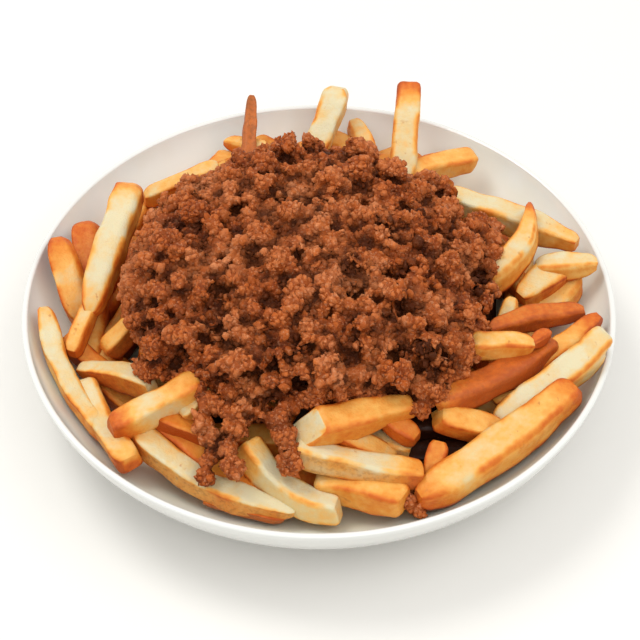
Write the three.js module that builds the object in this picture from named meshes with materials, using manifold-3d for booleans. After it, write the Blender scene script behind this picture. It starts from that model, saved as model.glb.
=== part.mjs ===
// Chili fries: a heap of hand-cut fries under a mound of crumbled meat chili, in a round white plate
// with deep sloping sides. Sizes are in millimetres. The origin lies on the table under the middle
// of the plate, +Z is up and +Y points away from the diner.
import * as THREE from 'three';
import { mergeVertices } from 'three/addons/utils/BufferGeometryUtils.js';
import Module from 'manifold-3d';

const wasm = await Module();
wasm.setup();

const UP = new THREE.Vector3(0, 0, 1);
const DEGREE = Math.PI / 180;
const GAP = 0.35; // space kept between two neighbouring nodes
const SEED = 20417;

// Plate: distances from its axis and heights above the table
const PLATE_RADIUS = 127;
const PLATE_HEIGHT = 44;
const LIP_WIDTH = 2.7;
const LIP_DROP = 1;
const FLOOR_RADIUS = 66;
const FLOOR_HEIGHT = 7;
const FOOT_OUTER = 75;
const FOOT_INNER = 68;
const FOOT_HEIGHT = 3;
const SHOULDER_RADIUS = 78;
const PLATE_SIDES = 48;
const WALL_STEPS = 6;
// Each face of the wall leaves the floor level, heads for its flare and turns up to the lip
const INNER_FLARE = 98;
const INNER_TURN = [120.5, 27];
const OUTER_FLARE = 104;
const OUTER_TURN = [124.5, 26];

// Heap of fries: the bare core that fills the plate below the fries that show
const CORE_CENTRE = new THREE.Vector3(0, 11, 0);
const CORE_FOOT = 94;
const CORE_FOOT_HEIGHT = 18;
const CORE_WAIST = 86;
const CORE_WAIST_HEIGHT = 33;
const CORE_TOP_RADIUS = 68;
const CORE_TOP = 47;
const CORE_SIDES = 24;
const HEADROOM = 100; // no fry stands higher than this

// One fry: its section is a square with cut corners, and a filling fry's is a plain square
const FRY_WIDTH = 11;
const CORNER_CUT = 0.26;
const STEP_LENGTH = 20;
const END_TAPER = 0.86;
const REST_ON_FACE = 0.6; // widths from its middle line down to what lies under it
const REST_ON_CORNER = 0.54;
const CORNER_REACH = 0.42;

// Fries that fill the space between the core and the plate, in layers round the core's middle
const FILL_LAYERS = [
  { count: 20, start: 0, turn: 360, reach: 88, height: 0, length: 50 },
  { count: 5, start: 150, turn: 75, reach: 98, height: 0, length: 44 },
  { count: 4, start: 325, turn: 60, reach: 98, height: 0, length: 44 },
  { count: 8, start: 58, turn: 75, reach: 84, height: 38, length: 46 },
];
const FILL_SWING = 35; // how far a filling fry may turn away from lying along the wall, in degrees
const FILL_STRAY = 3;
const FILL_BOW = 1.5;
const FILL_WIDTHS = [0.8, 1.1];
const FILL_HALVES = [0.4, 0.6];

// Chili mound, measured from its own middle: reach is its radius, with a bulge or a notch at a bearing
const MOUND_CENTRE = new THREE.Vector3(-4, 5, 0);
const MOUND_REACH = 74;
const MOUND_BOTTOM = CORE_TOP + GAP;
const MOUND_EDGE = 54;
const MOUND_PEAK = 85;
const MOUND_SIDES = 32;
const MOUND_RINGS = 6;
const MOUND_FULLNESS = 2.4; // higher for a flatter top and steeper sides
const MOUND_UNEVEN = 1.75;
const MOUND_SHIFT = 0.5;
const MOUND_LOBES = [
  { bearing: 12, spread: 7, size: 4 },
  { bearing: 27, spread: 9, size: -8 },
  { bearing: 42, spread: 6, size: 8 },
  { bearing: 54, spread: 7, size: -7 },
  { bearing: 198, spread: 32, size: 9 },
  { bearing: 316, spread: 16, size: 13 },
];

// Crumbs of meat that stand out of the mound, and the tongues of them over the fries in front
const CRUMB_COUNT = 66;
const CRUMB_RADIUS = 6.5;
const CRUMB_SIZES = [0.65, 1.25];
const CRUMB_SINK = [-0.7, 0.3];
const CRUMB_UNEVEN = 0.15;
const CRUMB_LIMIT = 0.97;
const TONGUE_SIZES = [0.8, 1.1];
const TONGUE_STRAY = 0.3;
const GOLDEN_TURN = Math.PI * (3 - Math.sqrt(5));
const TONGUES = [
  { from: [-46, -60, 52], to: [-43, -93, 38], count: 6, radius: 6.5 },
  { from: [-36, -62, 52], to: [-35, -92, 42], count: 5, radius: 6.5 },
  { from: [-15, -62, 52], to: [-13, -91, 43], count: 6, radius: 7.5 },
];
// Crumbs that fell into the plate at the front
const FALLEN = [[34, -88, 21], [41, -90, 25], [28, -88, 17]];
const FALLEN_RADIUS = 4;

// Each fry that shows: from one end to the other, how wide it is, how far its middle bows sideways
// and upwards, and the share of its width that is left at a pointed first end
const FRIES = [
  // left side
  { from: [-83, 56, 54], to: [-102, -23, 39], width: 10.5, bow: -1, rise: 5 },
  { from: [-105, 48, 40], to: [-99, 10, 30], width: 11.5 },
  { from: [-117, 33, 42], to: [-103, -2, 27], width: 13 },
  { from: [-117, -7, 40], to: [-84, -70, 31], width: 10.5, bow: 2, rise: -2 },
  { from: [-97, -40, 33], to: [-75, -86, 38], width: 10, bow: 2, rise: -3 },
  { from: [-83, -71, 41], to: [-48, -57, 51], width: 12 },
  { from: [-100, -33, 32], to: [-68, -50, 41], width: 11.5, bow: -2 },
  { from: [-90, -22, 31], to: [-75, -10, 43], width: 11 },
  { from: [-80, 66, 38], to: [-45, 77, 48], width: 9.5 },
  // front
  { from: [-66, -65, 40], to: [-42, -72, 35], width: 10 },
  { from: [-54, -66, 42], to: [-42, -58, 48], width: 8 },
  { from: [-74, -70, 36], to: [-15, -100, 25], width: 10.5, bow: 5, rise: -3 },
  { from: [-46, -95, 19], to: [-14, -103, 22], width: 6.5 },
  { from: [-67, -63, 36], to: [-16, -96, 20], width: 9, bow: 2 },
  { from: [-29, -77, 38], to: [8, -102, 27], width: 12, bow: 5, rise: -4 },
  { from: [-5, -77, 46], to: [38, -64, 49], width: 11 },
  { from: [-9, -83, 41], to: [40, -89, 33], width: 11, bow: 1 },
  { from: [-1, -87, 27], to: [34, -99, 25], width: 12, bow: -1 },
  { from: [4, -74, 43], to: [31, -78, 28], width: 10.5 },
  { from: [25, -66, 43], to: [40, -74, 37], width: 8.5 },
  { from: [18, -68, 31], to: [38, -74, 30], width: 8.5 },
  { from: [-15, -76, 24], to: [1, -86, 16], width: 10 },
  // right side
  { from: [105, -48, 42], to: [43, -93, 28], width: 14 },
  { from: [118, -29, 45], to: [73, -59, 33], width: 12, bow: -1 },
  { from: [119, -14, 46], to: [73, -52, 33], width: 8.5 },
  { from: [98, -28, 45], to: [47, -60, 45], width: 10.5, bow: -3 },
  { from: [113, -11, 45], to: [72, -24, 48], width: 8.5, bow: 2 },
  { from: [88, -36, 52], to: [62, -38, 54], width: 11 },
  { from: [48, -66, 43], to: [76, -66, 31], width: 11.5 },
  { from: [49, -75, 37], to: [45, -88, 28], width: 8.5 },
  { from: [57, 57, 49], to: [115, 30, 44], width: 12, bow: -2 },
  { from: [93, 41, 59], to: [72, 5, 46], width: 11, bow: -7, rise: 2, tip: 0.3 },
  { from: [120, 14, 49], to: [94, 15, 45], width: 8.5 },
  { from: [107, 18, 42], to: [87, 1, 40], width: 12 },
  { from: [112, 17, 38], to: [99, -3, 31], width: 10.5 },
  { from: [83, -3, 45], to: [76, -25, 36], width: 7 },
  // back
  { from: [30, 68, 46], to: [72, 88, 43], width: 11, bow: -2 },
  { from: [38, 70, 45], to: [42, 114, 65], width: 11 },
  { from: [24, 88, 43], to: [16, 114, 44], width: 9 },
  { from: [-4, 84, 43], to: [9, 118, 62], width: 11.5 },
  { from: [-34, 78, 45], to: [-31, 114, 59], width: 6.5 },
  { from: [-24, 88, 47], to: [-46, 102, 45], width: 8.5 },
];

// Draws numbers between a low and a high value, the same ones for the same seed
function seededRandom(seed) {
  let state = seed;
  return (low, high) => {
    state = (state + 0x6d2b79f5) | 0;
    let mixed = Math.imul(state ^ (state >>> 15), 1 | state);
    mixed = (mixed + Math.imul(mixed ^ (mixed >>> 7), 61 | mixed)) ^ mixed;
    return low + (high - low) * ((mixed ^ (mixed >>> 14)) >>> 0) / 2 ** 32;
  };
}

function bareGeometry(geometry) {
  for (const name of Object.keys(geometry.attributes)) {
    if (name !== 'position') {
      geometry.deleteAttribute(name);
    }
  }
  return mergeVertices(geometry, 1e-4);
}

function toSolid(geometry) {
  const bare = bareGeometry(geometry);
  const vertProperties = new Float32Array(bare.attributes.position.array);
  const triVerts = new Uint32Array(bare.index.array);
  return new wasm.Manifold(new wasm.Mesh({ numProp: 3, vertProperties, triVerts }));
}

function toGeometry(solid) {
  const mesh = solid.getMesh();
  const geometry = new THREE.BufferGeometry();
  geometry.setAttribute('position', new THREE.BufferAttribute(mesh.vertProperties, 3));
  geometry.setIndex(new THREE.BufferAttribute(mesh.triVerts, 1));
  geometry.computeVertexNormals();
  return geometry;
}

// The largest body alone: loose scraps and the walls of sealed hollows are left out
function mainBody(solid) {
  return solid.decompose().sort((a, b) => b.volume() - a.volume())[0];
}

// Stacks closed rings of points into one closed geometry, with a fan over each end
function skin(rings) {
  const sides = rings[0].length;
  const points = rings.flat();
  const indices = [];
  for (let ring = 0; ring + 1 < rings.length; ring += 1) {
    for (let side = 0; side < sides; side += 1) {
      const next = (side + 1) % sides;
      const a = ring * sides + side;
      const b = ring * sides + next;
      indices.push(a, b, b + sides, a, b + sides, a + sides);
    }
  }
  const last = (rings.length - 1) * sides;
  const middleOf = (ring) => ring
    .reduce((sum, point) => sum.add(point), new THREE.Vector3())
    .divideScalar(ring.length);
  points.push(middleOf(rings[0]), middleOf(rings.at(-1)));
  for (let side = 0; side < sides; side += 1) {
    const next = (side + 1) % sides;
    indices.push(points.length - 2, next, side);
    indices.push(points.length - 1, last + side, last + next);
  }
  const geometry = new THREE.BufferGeometry().setFromPoints(points);
  geometry.setIndex(indices);
  return geometry;
}

// Plate

const innerWall = new THREE.CubicBezierCurve(
  new THREE.Vector2(FLOOR_RADIUS, FLOOR_HEIGHT),
  new THREE.Vector2(INNER_FLARE, FLOOR_HEIGHT),
  new THREE.Vector2(...INNER_TURN),
  new THREE.Vector2(PLATE_RADIUS - LIP_WIDTH, PLATE_HEIGHT - LIP_DROP),
);

const outerWall = new THREE.CubicBezierCurve(
  new THREE.Vector2(SHOULDER_RADIUS, FOOT_HEIGHT),
  new THREE.Vector2(OUTER_FLARE, FOOT_HEIGHT),
  new THREE.Vector2(...OUTER_TURN),
  new THREE.Vector2(PLATE_RADIUS, PLATE_HEIGHT - LIP_DROP),
);

function turned(profile, sides) {
  return new THREE.LatheGeometry(profile, sides).rotateX(Math.PI / 2);
}

function plateGeometry() {
  const lipMiddle = PLATE_RADIUS - LIP_WIDTH / 2;
  const profile = [
    new THREE.Vector2(0, FOOT_HEIGHT),
    new THREE.Vector2(FOOT_INNER, FOOT_HEIGHT),
    new THREE.Vector2(FOOT_INNER + 1, 0),
    new THREE.Vector2(FOOT_OUTER, 0),
    ...outerWall.getPoints(WALL_STEPS),
    new THREE.Vector2(lipMiddle + LIP_WIDTH / 4, PLATE_HEIGHT),
    new THREE.Vector2(lipMiddle - LIP_WIDTH / 4, PLATE_HEIGHT),
    ...innerWall.getPoints(WALL_STEPS).reverse(),
    new THREE.Vector2(0, FLOOR_HEIGHT),
  ];
  return turned(profile, PLATE_SIDES);
}

// Height of the plate's inner surface at a distance from its axis
function wallHeight(radius) {
  const points = innerWall.getPoints(40);
  const after = points.findIndex((point) => point.x >= radius);
  if (after === 0) {
    return FLOOR_HEIGHT;
  }
  if (after < 0) {
    return PLATE_HEIGHT;
  }
  const low = points[after - 1];
  const high = points[after];
  return low.y + (high.y - low.y) * (radius - low.x) / (high.x - low.x);
}

// The space inside the plate, a gap clear of its surface
function plateHollow() {
  const inward = innerWall.getPoints(WALL_STEPS).map((point) => (
    new THREE.Vector2(point.x - GAP, point.y + GAP)
  ));
  const profile = [
    new THREE.Vector2(0, FLOOR_HEIGHT + GAP),
    ...inward,
    new THREE.Vector2(PLATE_RADIUS, HEADROOM),
    new THREE.Vector2(0, HEADROOM),
  ];
  return toSolid(turned(profile, PLATE_SIDES));
}

// Fries

function frySection(width, plain) {
  const half = width / 2;
  if (plain) {
    return [[half, -half], [half, half], [-half, half], [-half, -half]];
  }
  const cut = half * (1 - 2 * CORNER_CUT);
  return [
    [half, -cut], [half, cut], [cut, half], [-cut, half],
    [-half, cut], [-half, -cut], [-cut, -half], [cut, -half],
  ];
}

// Lifts a point of a fry's middle line until the fry clears the plate's sloping wall
function restOnWall(point, width) {
  const radius = Math.hypot(point.x, point.y);
  const onFace = wallHeight(radius) + REST_ON_FACE * width;
  const onCorner = wallHeight(radius + CORNER_REACH * width) + REST_ON_CORNER * width;
  point.z = Math.max(point.z, onFace + GAP, onCorner + GAP);
  return point;
}

function fryGeometry({ from, to, width = FRY_WIDTH, bow = 0, rise = 0, tip = END_TAPER, plain = false }) {
  const start = restOnWall(new THREE.Vector3(...from), width);
  const end = restOnWall(new THREE.Vector3(...to), width);
  const side = end.clone().sub(start).cross(UP).normalize();
  const middle = start.clone().add(end).divideScalar(2);
  middle.addScaledVector(side, 2 * bow).addScaledVector(UP, 2 * rise);
  const line = new THREE.QuadraticBezierCurve3(start, middle, end);
  const steps = Math.max(2, Math.round((start.distanceTo(end) + 4 * Math.abs(bow)) / STEP_LENGTH));
  const rings = [];
  for (let step = 0; step <= steps; step += 1) {
    const t = step / steps;
    const centre = restOnWall(line.getPoint(t), width);
    const along = line.getTangent(t);
    const across = UP.clone().cross(along).normalize();
    const above = along.clone().cross(across);
    const taper = { 0: tip, [steps]: END_TAPER }[step] ?? 1;
    rings.push(frySection(width * taper, plain).map(([x, y]) => (
      centre.clone().addScaledVector(across, x).addScaledVector(above, y)
    )));
  }
  return skin(rings);
}

function coreSolid() {
  const profile = [
    new THREE.Vector2(0, 0),
    new THREE.Vector2(CORE_FOOT, 0),
    new THREE.Vector2(CORE_FOOT, CORE_FOOT_HEIGHT),
    new THREE.Vector2(CORE_WAIST, CORE_WAIST_HEIGHT),
    new THREE.Vector2(CORE_TOP_RADIUS, CORE_TOP),
    new THREE.Vector2(0, CORE_TOP),
  ];
  const geometry = turned(profile, CORE_SIDES);
  geometry.translate(...CORE_CENTRE.toArray());
  return toSolid(geometry);
}

// Fries round the core, each lying roughly along the wall with a turn of its own
function fillingFries() {
  const between = seededRandom(SEED);
  const fries = [];
  for (const { count, start, turn, reach, height, length } of FILL_LAYERS) {
    for (let index = 0; index < count; index += 1) {
      const bearing = (start + turn * (index + between(0, 0.6)) / count) * DEGREE;
      const heading = bearing + Math.PI / 2 + between(-FILL_SWING, FILL_SWING) * DEGREE;
      const half = length * between(...FILL_HALVES);
      const away = reach + between(-FILL_STRAY, FILL_STRAY);
      const middle = new THREE.Vector3(away * Math.cos(bearing), away * Math.sin(bearing), height);
      middle.add(CORE_CENTRE);
      const along = new THREE.Vector3(Math.cos(heading), Math.sin(heading), 0);
      fries.push({
        from: middle.clone().addScaledVector(along, -half).toArray(),
        to: middle.clone().addScaledVector(along, half).toArray(),
        width: FRY_WIDTH * between(...FILL_WIDTHS),
        bow: between(-FILL_BOW, FILL_BOW),
        plain: true,
      });
    }
  }
  return fries;
}

function friesSolid() {
  let heap = coreSolid().intersect(plateHollow());
  for (const fry of [...fillingFries(), ...FRIES]) {
    heap = heap.add(toSolid(fryGeometry(fry)));
  }
  const between = seededRandom(SEED);
  for (const place of FALLEN) {
    heap = heap.add(crumbSolid(new THREE.Vector3(...place), FALLEN_RADIUS, between));
  }
  return mainBody(heap.intersect(plateHollow()).subtract(chiliSolid(GAP)));
}

// Chili

function moundReach(angle) {
  return MOUND_LOBES.reduce((reach, { bearing, spread, size }) => {
    const offset = angle - bearing * DEGREE;
    const away = Math.atan2(Math.sin(offset), Math.cos(offset)) / (spread * DEGREE);
    return reach + size * Math.exp(-(away ** 2));
  }, MOUND_REACH);
}

// A point on the mound: share runs from 0 at its middle to 1 at its edge
function moundPoint(angle, share, grow) {
  const reach = moundReach(angle) * share + grow;
  const dome = Math.sqrt(1 - share ** MOUND_FULLNESS);
  const z = MOUND_EDGE + (MOUND_PEAK - MOUND_EDGE) * dome + grow;
  return new THREE.Vector3(reach * Math.cos(angle), reach * Math.sin(angle), z).add(MOUND_CENTRE);
}

function moundSolid(grow) {
  const between = seededRandom(SEED);
  const rings = [];
  for (let ring = 0; ring < MOUND_RINGS; ring += 1) {
    const points = [];
    for (let side = 0; side < MOUND_SIDES; side += 1) {
      const angle = (side + between(0, MOUND_SHIFT)) * 2 * Math.PI / MOUND_SIDES;
      const point = moundPoint(angle, 1 - ring / MOUND_RINGS, grow);
      point.z += between(-MOUND_UNEVEN, MOUND_UNEVEN);
      points.push(point);
    }
    rings.push(points);
  }
  rings.unshift(rings[0].map((point) => point.clone().setZ(MOUND_BOTTOM - grow)));
  return toSolid(skin(rings));
}

// An uneven lump of twenty faces
function crumbSolid(place, radius, between) {
  const geometry = bareGeometry(new THREE.IcosahedronGeometry(radius, 0));
  const corners = geometry.attributes.position;
  const corner = new THREE.Vector3();
  for (let index = 0; index < corners.count; index += 1) {
    corner.fromBufferAttribute(corners, index).multiplyScalar(1 + between(-CRUMB_UNEVEN, CRUMB_UNEVEN));
    corners.setXYZ(index, corner.x, corner.y, corner.z);
  }
  geometry.rotateX(between(0, Math.PI)).rotateZ(between(0, Math.PI));
  geometry.translate(place.x, place.y, place.z);
  return toSolid(geometry);
}

function chiliSolid(grow) {
  const between = seededRandom(SEED);
  let chili = moundSolid(grow);
  for (let index = 0; index < CRUMB_COUNT; index += 1) {
    const share = Math.sqrt((index + 0.5) / CRUMB_COUNT);
    const place = moundPoint(index * GOLDEN_TURN, share * CRUMB_LIMIT, 0);
    const radius = CRUMB_RADIUS * between(...CRUMB_SIZES);
    place.z += radius * between(...CRUMB_SINK);
    chili = chili.add(crumbSolid(place, radius + grow, between));
  }
  for (const { from, to, count, radius } of TONGUES) {
    const line = new THREE.LineCurve3(new THREE.Vector3(...from), new THREE.Vector3(...to));
    for (let index = 0; index < count; index += 1) {
      const place = line.getPoint(index / (count - 1));
      place.x += radius * between(-TONGUE_STRAY, TONGUE_STRAY);
      const size = radius * between(...TONGUE_SIZES);
      chili = chili.add(crumbSolid(place, size + grow, between));
    }
  }
  return mainBody(chili);
}

function part(name, geometry, colour, roughness) {
  const material = new THREE.MeshStandardMaterial({ color: colour, roughness, metalness: 0 });
  const mesh = new THREE.Mesh(geometry, material);
  mesh.name = name;
  return mesh;
}

const group = new THREE.Group();
group.add(
  part('plate', bareGeometry(plateGeometry()), 0xebe9e4, 0.15),
  part('fries', toGeometry(friesSolid()), 0xe0a85c, 0.6),
  part('chili', toGeometry(chiliSolid(0)), 0x7a4326, 0.55),
);

export default group;
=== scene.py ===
"""Chili fries: hand-cut fries heaped in a deep white plate under a mound of crumbled meat chili.

The sizes and places are in millimetres and repeat those of the part's solids, so each piece lies
where its solid does. The origin is on the table under the middle of the plate, +Z is up and +Y
points away from the diner.
"""

from __future__ import annotations

import logging
import math
from dataclasses import dataclass, fields
from enum import Enum
from typing import Iterable, Sequence

import bmesh
import bpy
import numpy as np
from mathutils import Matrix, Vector


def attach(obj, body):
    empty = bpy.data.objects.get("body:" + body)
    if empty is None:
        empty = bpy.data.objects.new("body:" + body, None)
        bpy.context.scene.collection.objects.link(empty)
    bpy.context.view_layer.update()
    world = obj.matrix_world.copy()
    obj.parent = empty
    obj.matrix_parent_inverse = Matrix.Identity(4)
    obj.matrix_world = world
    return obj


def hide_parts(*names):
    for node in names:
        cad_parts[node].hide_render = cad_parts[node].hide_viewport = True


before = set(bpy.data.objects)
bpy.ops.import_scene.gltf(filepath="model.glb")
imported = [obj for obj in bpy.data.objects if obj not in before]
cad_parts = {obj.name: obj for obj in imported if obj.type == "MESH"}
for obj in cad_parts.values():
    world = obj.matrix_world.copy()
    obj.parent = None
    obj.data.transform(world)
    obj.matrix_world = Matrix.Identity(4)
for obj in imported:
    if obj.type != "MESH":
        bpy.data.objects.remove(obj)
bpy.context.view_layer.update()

LOG = logging.getLogger("chili_fries")
MM = 0.001  # metres in a millimetre
BODY = "root"
SEED = 20417
PATTERN_MIDDLE = 0.5  # what the values of a cloudy pattern lie round

Point = tuple[float, float, float]
Pair = tuple[float, float]
Colour = tuple[float, float, float, float]
Socket = bpy.types.NodeSocket


class Slot(Enum):
    """The material slots of the part's record."""

    GLAZE = "white_glaze"
    POTATO = "fried_potato"
    MEAT = "chili_meat"


class Node(Enum):
    """The nodes of the part that the pieces stand for."""

    PLATE = "plate"
    FRIES = "fries"
    CHILI = "chili"


def colour_of(red: int, green: int, blue: int) -> Colour:
    """Turns a screen colour into the linear colour that a shader takes.

    Args:
        red: Red, from 0 to 255.
        green: Green, from 0 to 255.
        blue: Blue, from 0 to 255.

    Returns:
        The linear colour, with full opacity.
    """
    shares = [value / 255 for value in (red, green, blue)]
    linear = [s / 12.92 if s <= 0.04045 else ((s + 0.055) / 1.055) ** 2.4 for s in shares]
    return (*linear, 1.0)


class SeededDraws:
    """Draws the same numbers from a seed as the part's source does."""

    def __init__(self, seed: int) -> None:
        """Starts the row of numbers at a seed."""
        self.state = seed

    def between(self, low: float, high: float) -> float:
        """Draws the next number.

        Args:
            low: The lowest value.
            high: The highest value.

        Returns:
            A number from low to high.
        """
        word = 0xFFFFFFFF
        self.state = (self.state + 0x6D2B79F5) & word
        mixed = ((self.state ^ (self.state >> 15)) * (1 | self.state)) & word
        mixed = ((mixed + (mixed ^ (mixed >> 7)) * (61 | mixed)) & word) ^ mixed
        return low + (high - low) * (mixed ^ (mixed >> 14)) / 2**32

    def skip(self, count: int) -> None:
        """Passes over numbers that only the part's source has a use for."""
        for _ in range(count):
            self.between(0, 1)


class Kind(Enum):
    """What a shape carries at each of its points."""

    NUMBER = "FLOAT"
    VECTOR = "FLOAT_VECTOR"


class Texture(Enum):
    """The patterns that roughen a shape."""

    CLOUDS = "ShaderNodeTexNoise"
    CELLS = "ShaderNodeTexVoronoi"


class NodeGraph:
    """Adds nodes to a tree and joins them, one call to a node."""

    def __init__(self, tree: bpy.types.NodeTree) -> None:
        """Takes the tree that the nodes go into."""
        self.tree = tree

    def add(self, kind: str, inputs: dict | None = None, **settings: object) -> bpy.types.Node:
        """Adds one node.

        Args:
            kind: The node's type name.
            inputs: A value, a socket or a node for each input, by the input's name or number.
            settings: The node's own properties.

        Returns:
            The new node.
        """
        node = self.tree.nodes.new(kind)
        for name, value in settings.items():
            setattr(node, name, value)
        for key, value in (inputs or {}).items():
            self.feed(self.socket(node.inputs, key), value)
        return node

    @staticmethod
    def socket(sockets: Iterable[Socket], key: str | int) -> Socket:
        """Finds a socket in use by its number among those in use, or by its name."""
        shown = [socket for socket in sockets if socket.enabled]
        return shown[key] if isinstance(key, int) else next(s for s in shown if s.name == key)

    def feed(self, socket: Socket, value: object) -> None:
        """Gives an input a value of its own, or a link.

        Args:
            socket: The input.
            value: The value, or the socket or the node whose first output goes into the input.
        """
        if isinstance(value, bpy.types.Node):
            value = self.out(value)
        if isinstance(value, Socket):
            self.tree.links.new(value, socket)
        else:
            socket.default_value = value

    def out(self, node: bpy.types.Node, key: str | int = 0) -> Socket:
        """Gives one of a node's outputs in use, by name or number."""
        return self.socket(node.outputs, key)

    def math(self, operation: str, *values: object, clamp: bool = False) -> Socket:
        """Adds a Math node and gives its result; clamp holds it between 0 and 1."""
        inputs = dict(enumerate(values))
        return self.out(self.add("ShaderNodeMath", inputs, operation=operation, use_clamp=clamp))

    def times(self, first: object, second: object, clamp: bool = False) -> Socket:
        """Multiplies two numbers, each a value or a socket."""
        return self.math("MULTIPLY", first, second, clamp=clamp)

    def plus(self, first: object, second: object, clamp: bool = False) -> Socket:
        """Adds two numbers, each a value or a socket."""
        return self.math("ADD", first, second, clamp=clamp)

    def minus(self, first: object, second: object, clamp: bool = False) -> Socket:
        """Takes the second number from the first, each a value or a socket."""
        return self.math("SUBTRACT", first, second, clamp=clamp)

    def vector(self, operation: str, *values: object) -> Socket:
        """Adds a Vector Math node and gives its result."""
        inputs = dict(enumerate(values))
        return self.out(self.add("ShaderNodeVectorMath", inputs, operation=operation))

    def scaled(self, value: object, factor: object) -> Socket:
        """Multiplies a vector by a number, each a value or a socket."""
        return self.vector("SCALE", value, factor)

    def split(self, value: object) -> bpy.types.NodeOutputs:
        """Gives the X, Y and Z of a vector."""
        return self.add("ShaderNodeSeparateXYZ", {"Vector": value}).outputs

    def ramp(self, value: object, low: float, high: float) -> Socket:
        """Turns a value into a soft mask, from 0 at low to 1 at high."""
        limits = {"Value": value, "From Min": low, "From Max": high}
        return self.out(self.add("ShaderNodeMapRange", limits, interpolation_type="SMOOTHSTEP"))

    def mix(self, share: object, first: object, second: object) -> Socket:
        """Mixes two colours, with a share of the second."""
        inputs = {"Factor": share, "A": first, "B": second}
        return self.out(self.add("ShaderNodeMix", inputs, data_type="RGBA"), "Result")

    def colours(self, value: object, stops: Sequence[tuple[float, Colour]]) -> Socket:
        """Turns a value into a colour.

        Args:
            value: The value's socket.
            stops: Each colour with the value that it stands at.

        Returns:
            The colour's socket.
        """
        node = self.add("ShaderNodeValToRGB", {"Fac": value})
        elements = node.color_ramp.elements
        while len(elements) < len(stops):
            elements.new(0.5)
        for element, (place, colour) in zip(elements, stops):
            element.position, element.color = place, colour
        return node.outputs["Color"]


@dataclass(frozen=True)
class TreeSizes:
    """Sizes that a tree takes, each through an input named after its field.

    A float is a length in millimetres, and an int is a count or a seed.
    """

    @classmethod
    def names(cls) -> list[str]:
        """Gives the names of the inputs, such as Lump Size for lump_size."""
        return [field.name.replace("_", " ").title() for field in fields(cls)]

    def values(self) -> dict[str, float]:
        """Gives the sizes as the tree takes them.

        Returns:
            A value for each input's name, with lengths in metres.
        """
        units = (1 if field.type == "int" else MM for field in fields(self))
        sizes = (getattr(self, field.name) for field in fields(self))
        return {name: size * unit for name, size, unit in zip(self.names(), sizes, units)}


class ShapeTree(NodeGraph):
    """A Geometry Nodes tree with named inputs, which turns one mesh into another."""

    def __init__(self, name: str, sizes: Sequence[str]) -> None:
        """Starts the tree.

        Args:
            name: The tree's name.
            sizes: The names of its number inputs.
        """
        tree = bpy.data.node_groups.new(name, "GeometryNodeTree")
        tree.interface.new_socket("Geometry", in_out="INPUT", socket_type="NodeSocketGeometry")
        for size in sizes:
            tree.interface.new_socket(size, in_out="INPUT", socket_type="NodeSocketFloat")
        tree.interface.new_socket("Material", in_out="INPUT", socket_type="NodeSocketMaterial")
        tree.interface.new_socket("Geometry", in_out="OUTPUT", socket_type="NodeSocketGeometry")
        super().__init__(tree)
        self.given = self.add("NodeGroupInput")

    def input(self, name: str) -> Socket:
        """Gives the socket of one of the tree's inputs."""
        return self.given.outputs[name]

    def place(self) -> bpy.types.Node:
        """Reads where each point is."""
        return self.add("GeometryNodeInputPosition")

    def normal(self) -> bpy.types.Node:
        """Reads the way out of the shape at each point."""
        return self.add("GeometryNodeInputNormal")

    def pattern(self, size: object, texture: Texture = Texture.CLOUDS) -> bpy.types.Node:
        """Adds a pattern that repeats about once in a size in metres, a value or a socket."""
        return self.add(texture.value, {"Scale": self.math("DIVIDE", 1.0, size)})

    def random(self, seed: Enum, low: object, high: object) -> Socket:
        """Draws a number or a vector for each point.

        Args:
            seed: The seed of what is drawn.
            low: The lowest value, or its socket.
            high: The highest value, or its socket. Where it is a tuple, vectors are drawn.

        Returns:
            The socket of what is drawn.
        """
        kind = Kind.VECTOR if isinstance(high, tuple) else Kind.NUMBER
        inputs = {"Min": low, "Max": high, "Seed": seed.value}
        return self.out(self.add("FunctionNodeRandomValue", inputs, data_type=kind.value))

    def moved(self, shape: object, offset: object) -> bpy.types.Node:
        """Moves each point of a shape by an offset of its own."""
        return self.add("GeometryNodeSetPosition", {"Geometry": shape, "Offset": offset})

    def read(self, name: str, kind: Kind = Kind.NUMBER) -> Socket:
        """Reads a value that the shape carries."""
        node = self.add("GeometryNodeInputNamedAttribute", {"Name": name}, data_type=kind.value)
        return self.out(node)

    def store(
        self, shape: object, name: str, value: object, kind: Kind = Kind.NUMBER
    ) -> bpy.types.Node:
        """Makes a shape carry a value at each of its points.

        Args:
            shape: The node or socket with the shape.
            name: The value's name.
            value: The value at each point, a node or a socket.
            kind: Whether it is a number or a vector.

        Returns:
            The node with the shape that carries it.
        """
        inputs = {"Geometry": shape, "Name": name, "Value": value}
        return self.add("GeometryNodeStoreNamedAttribute", inputs, data_type=kind.value)

    def close(self, shape: object) -> None:
        """Ends the tree with real meshes, smooth shading and the material.

        Args:
            shape: The node or socket with the finished shape.
        """
        shape = self.add("GeometryNodeRealizeInstances", {"Geometry": shape})
        shape = self.add("GeometryNodeSetShadeSmooth", {"Geometry": shape, "Shade Smooth": True})
        dress = {"Geometry": shape, "Material": self.input("Material")}
        self.add("NodeGroupOutput", {"Geometry": self.add("GeometryNodeSetMaterial", dress)})

    def apply(
        self, piece: bpy.types.Object, material: bpy.types.Material, sizes: dict[str, float]
    ) -> None:
        """Runs the tree on a piece, which keeps the result as a plain mesh.

        Args:
            piece: The object whose mesh is the tree's input.
            material: The finish of what the tree makes.
            sizes: A value for each number input.
        """
        modifier = piece.modifiers.new(self.tree.name, "NODES")
        modifier.node_group = self.tree
        for item in self.tree.interface.items_tree:
            if item.in_out == "INPUT" and item.name in sizes:
                modifier[item.identifier] = float(sizes[item.name])
            elif item.in_out == "INPUT" and item.name == "Material":
                modifier[item.identifier] = material
        keep_result(piece)


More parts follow.
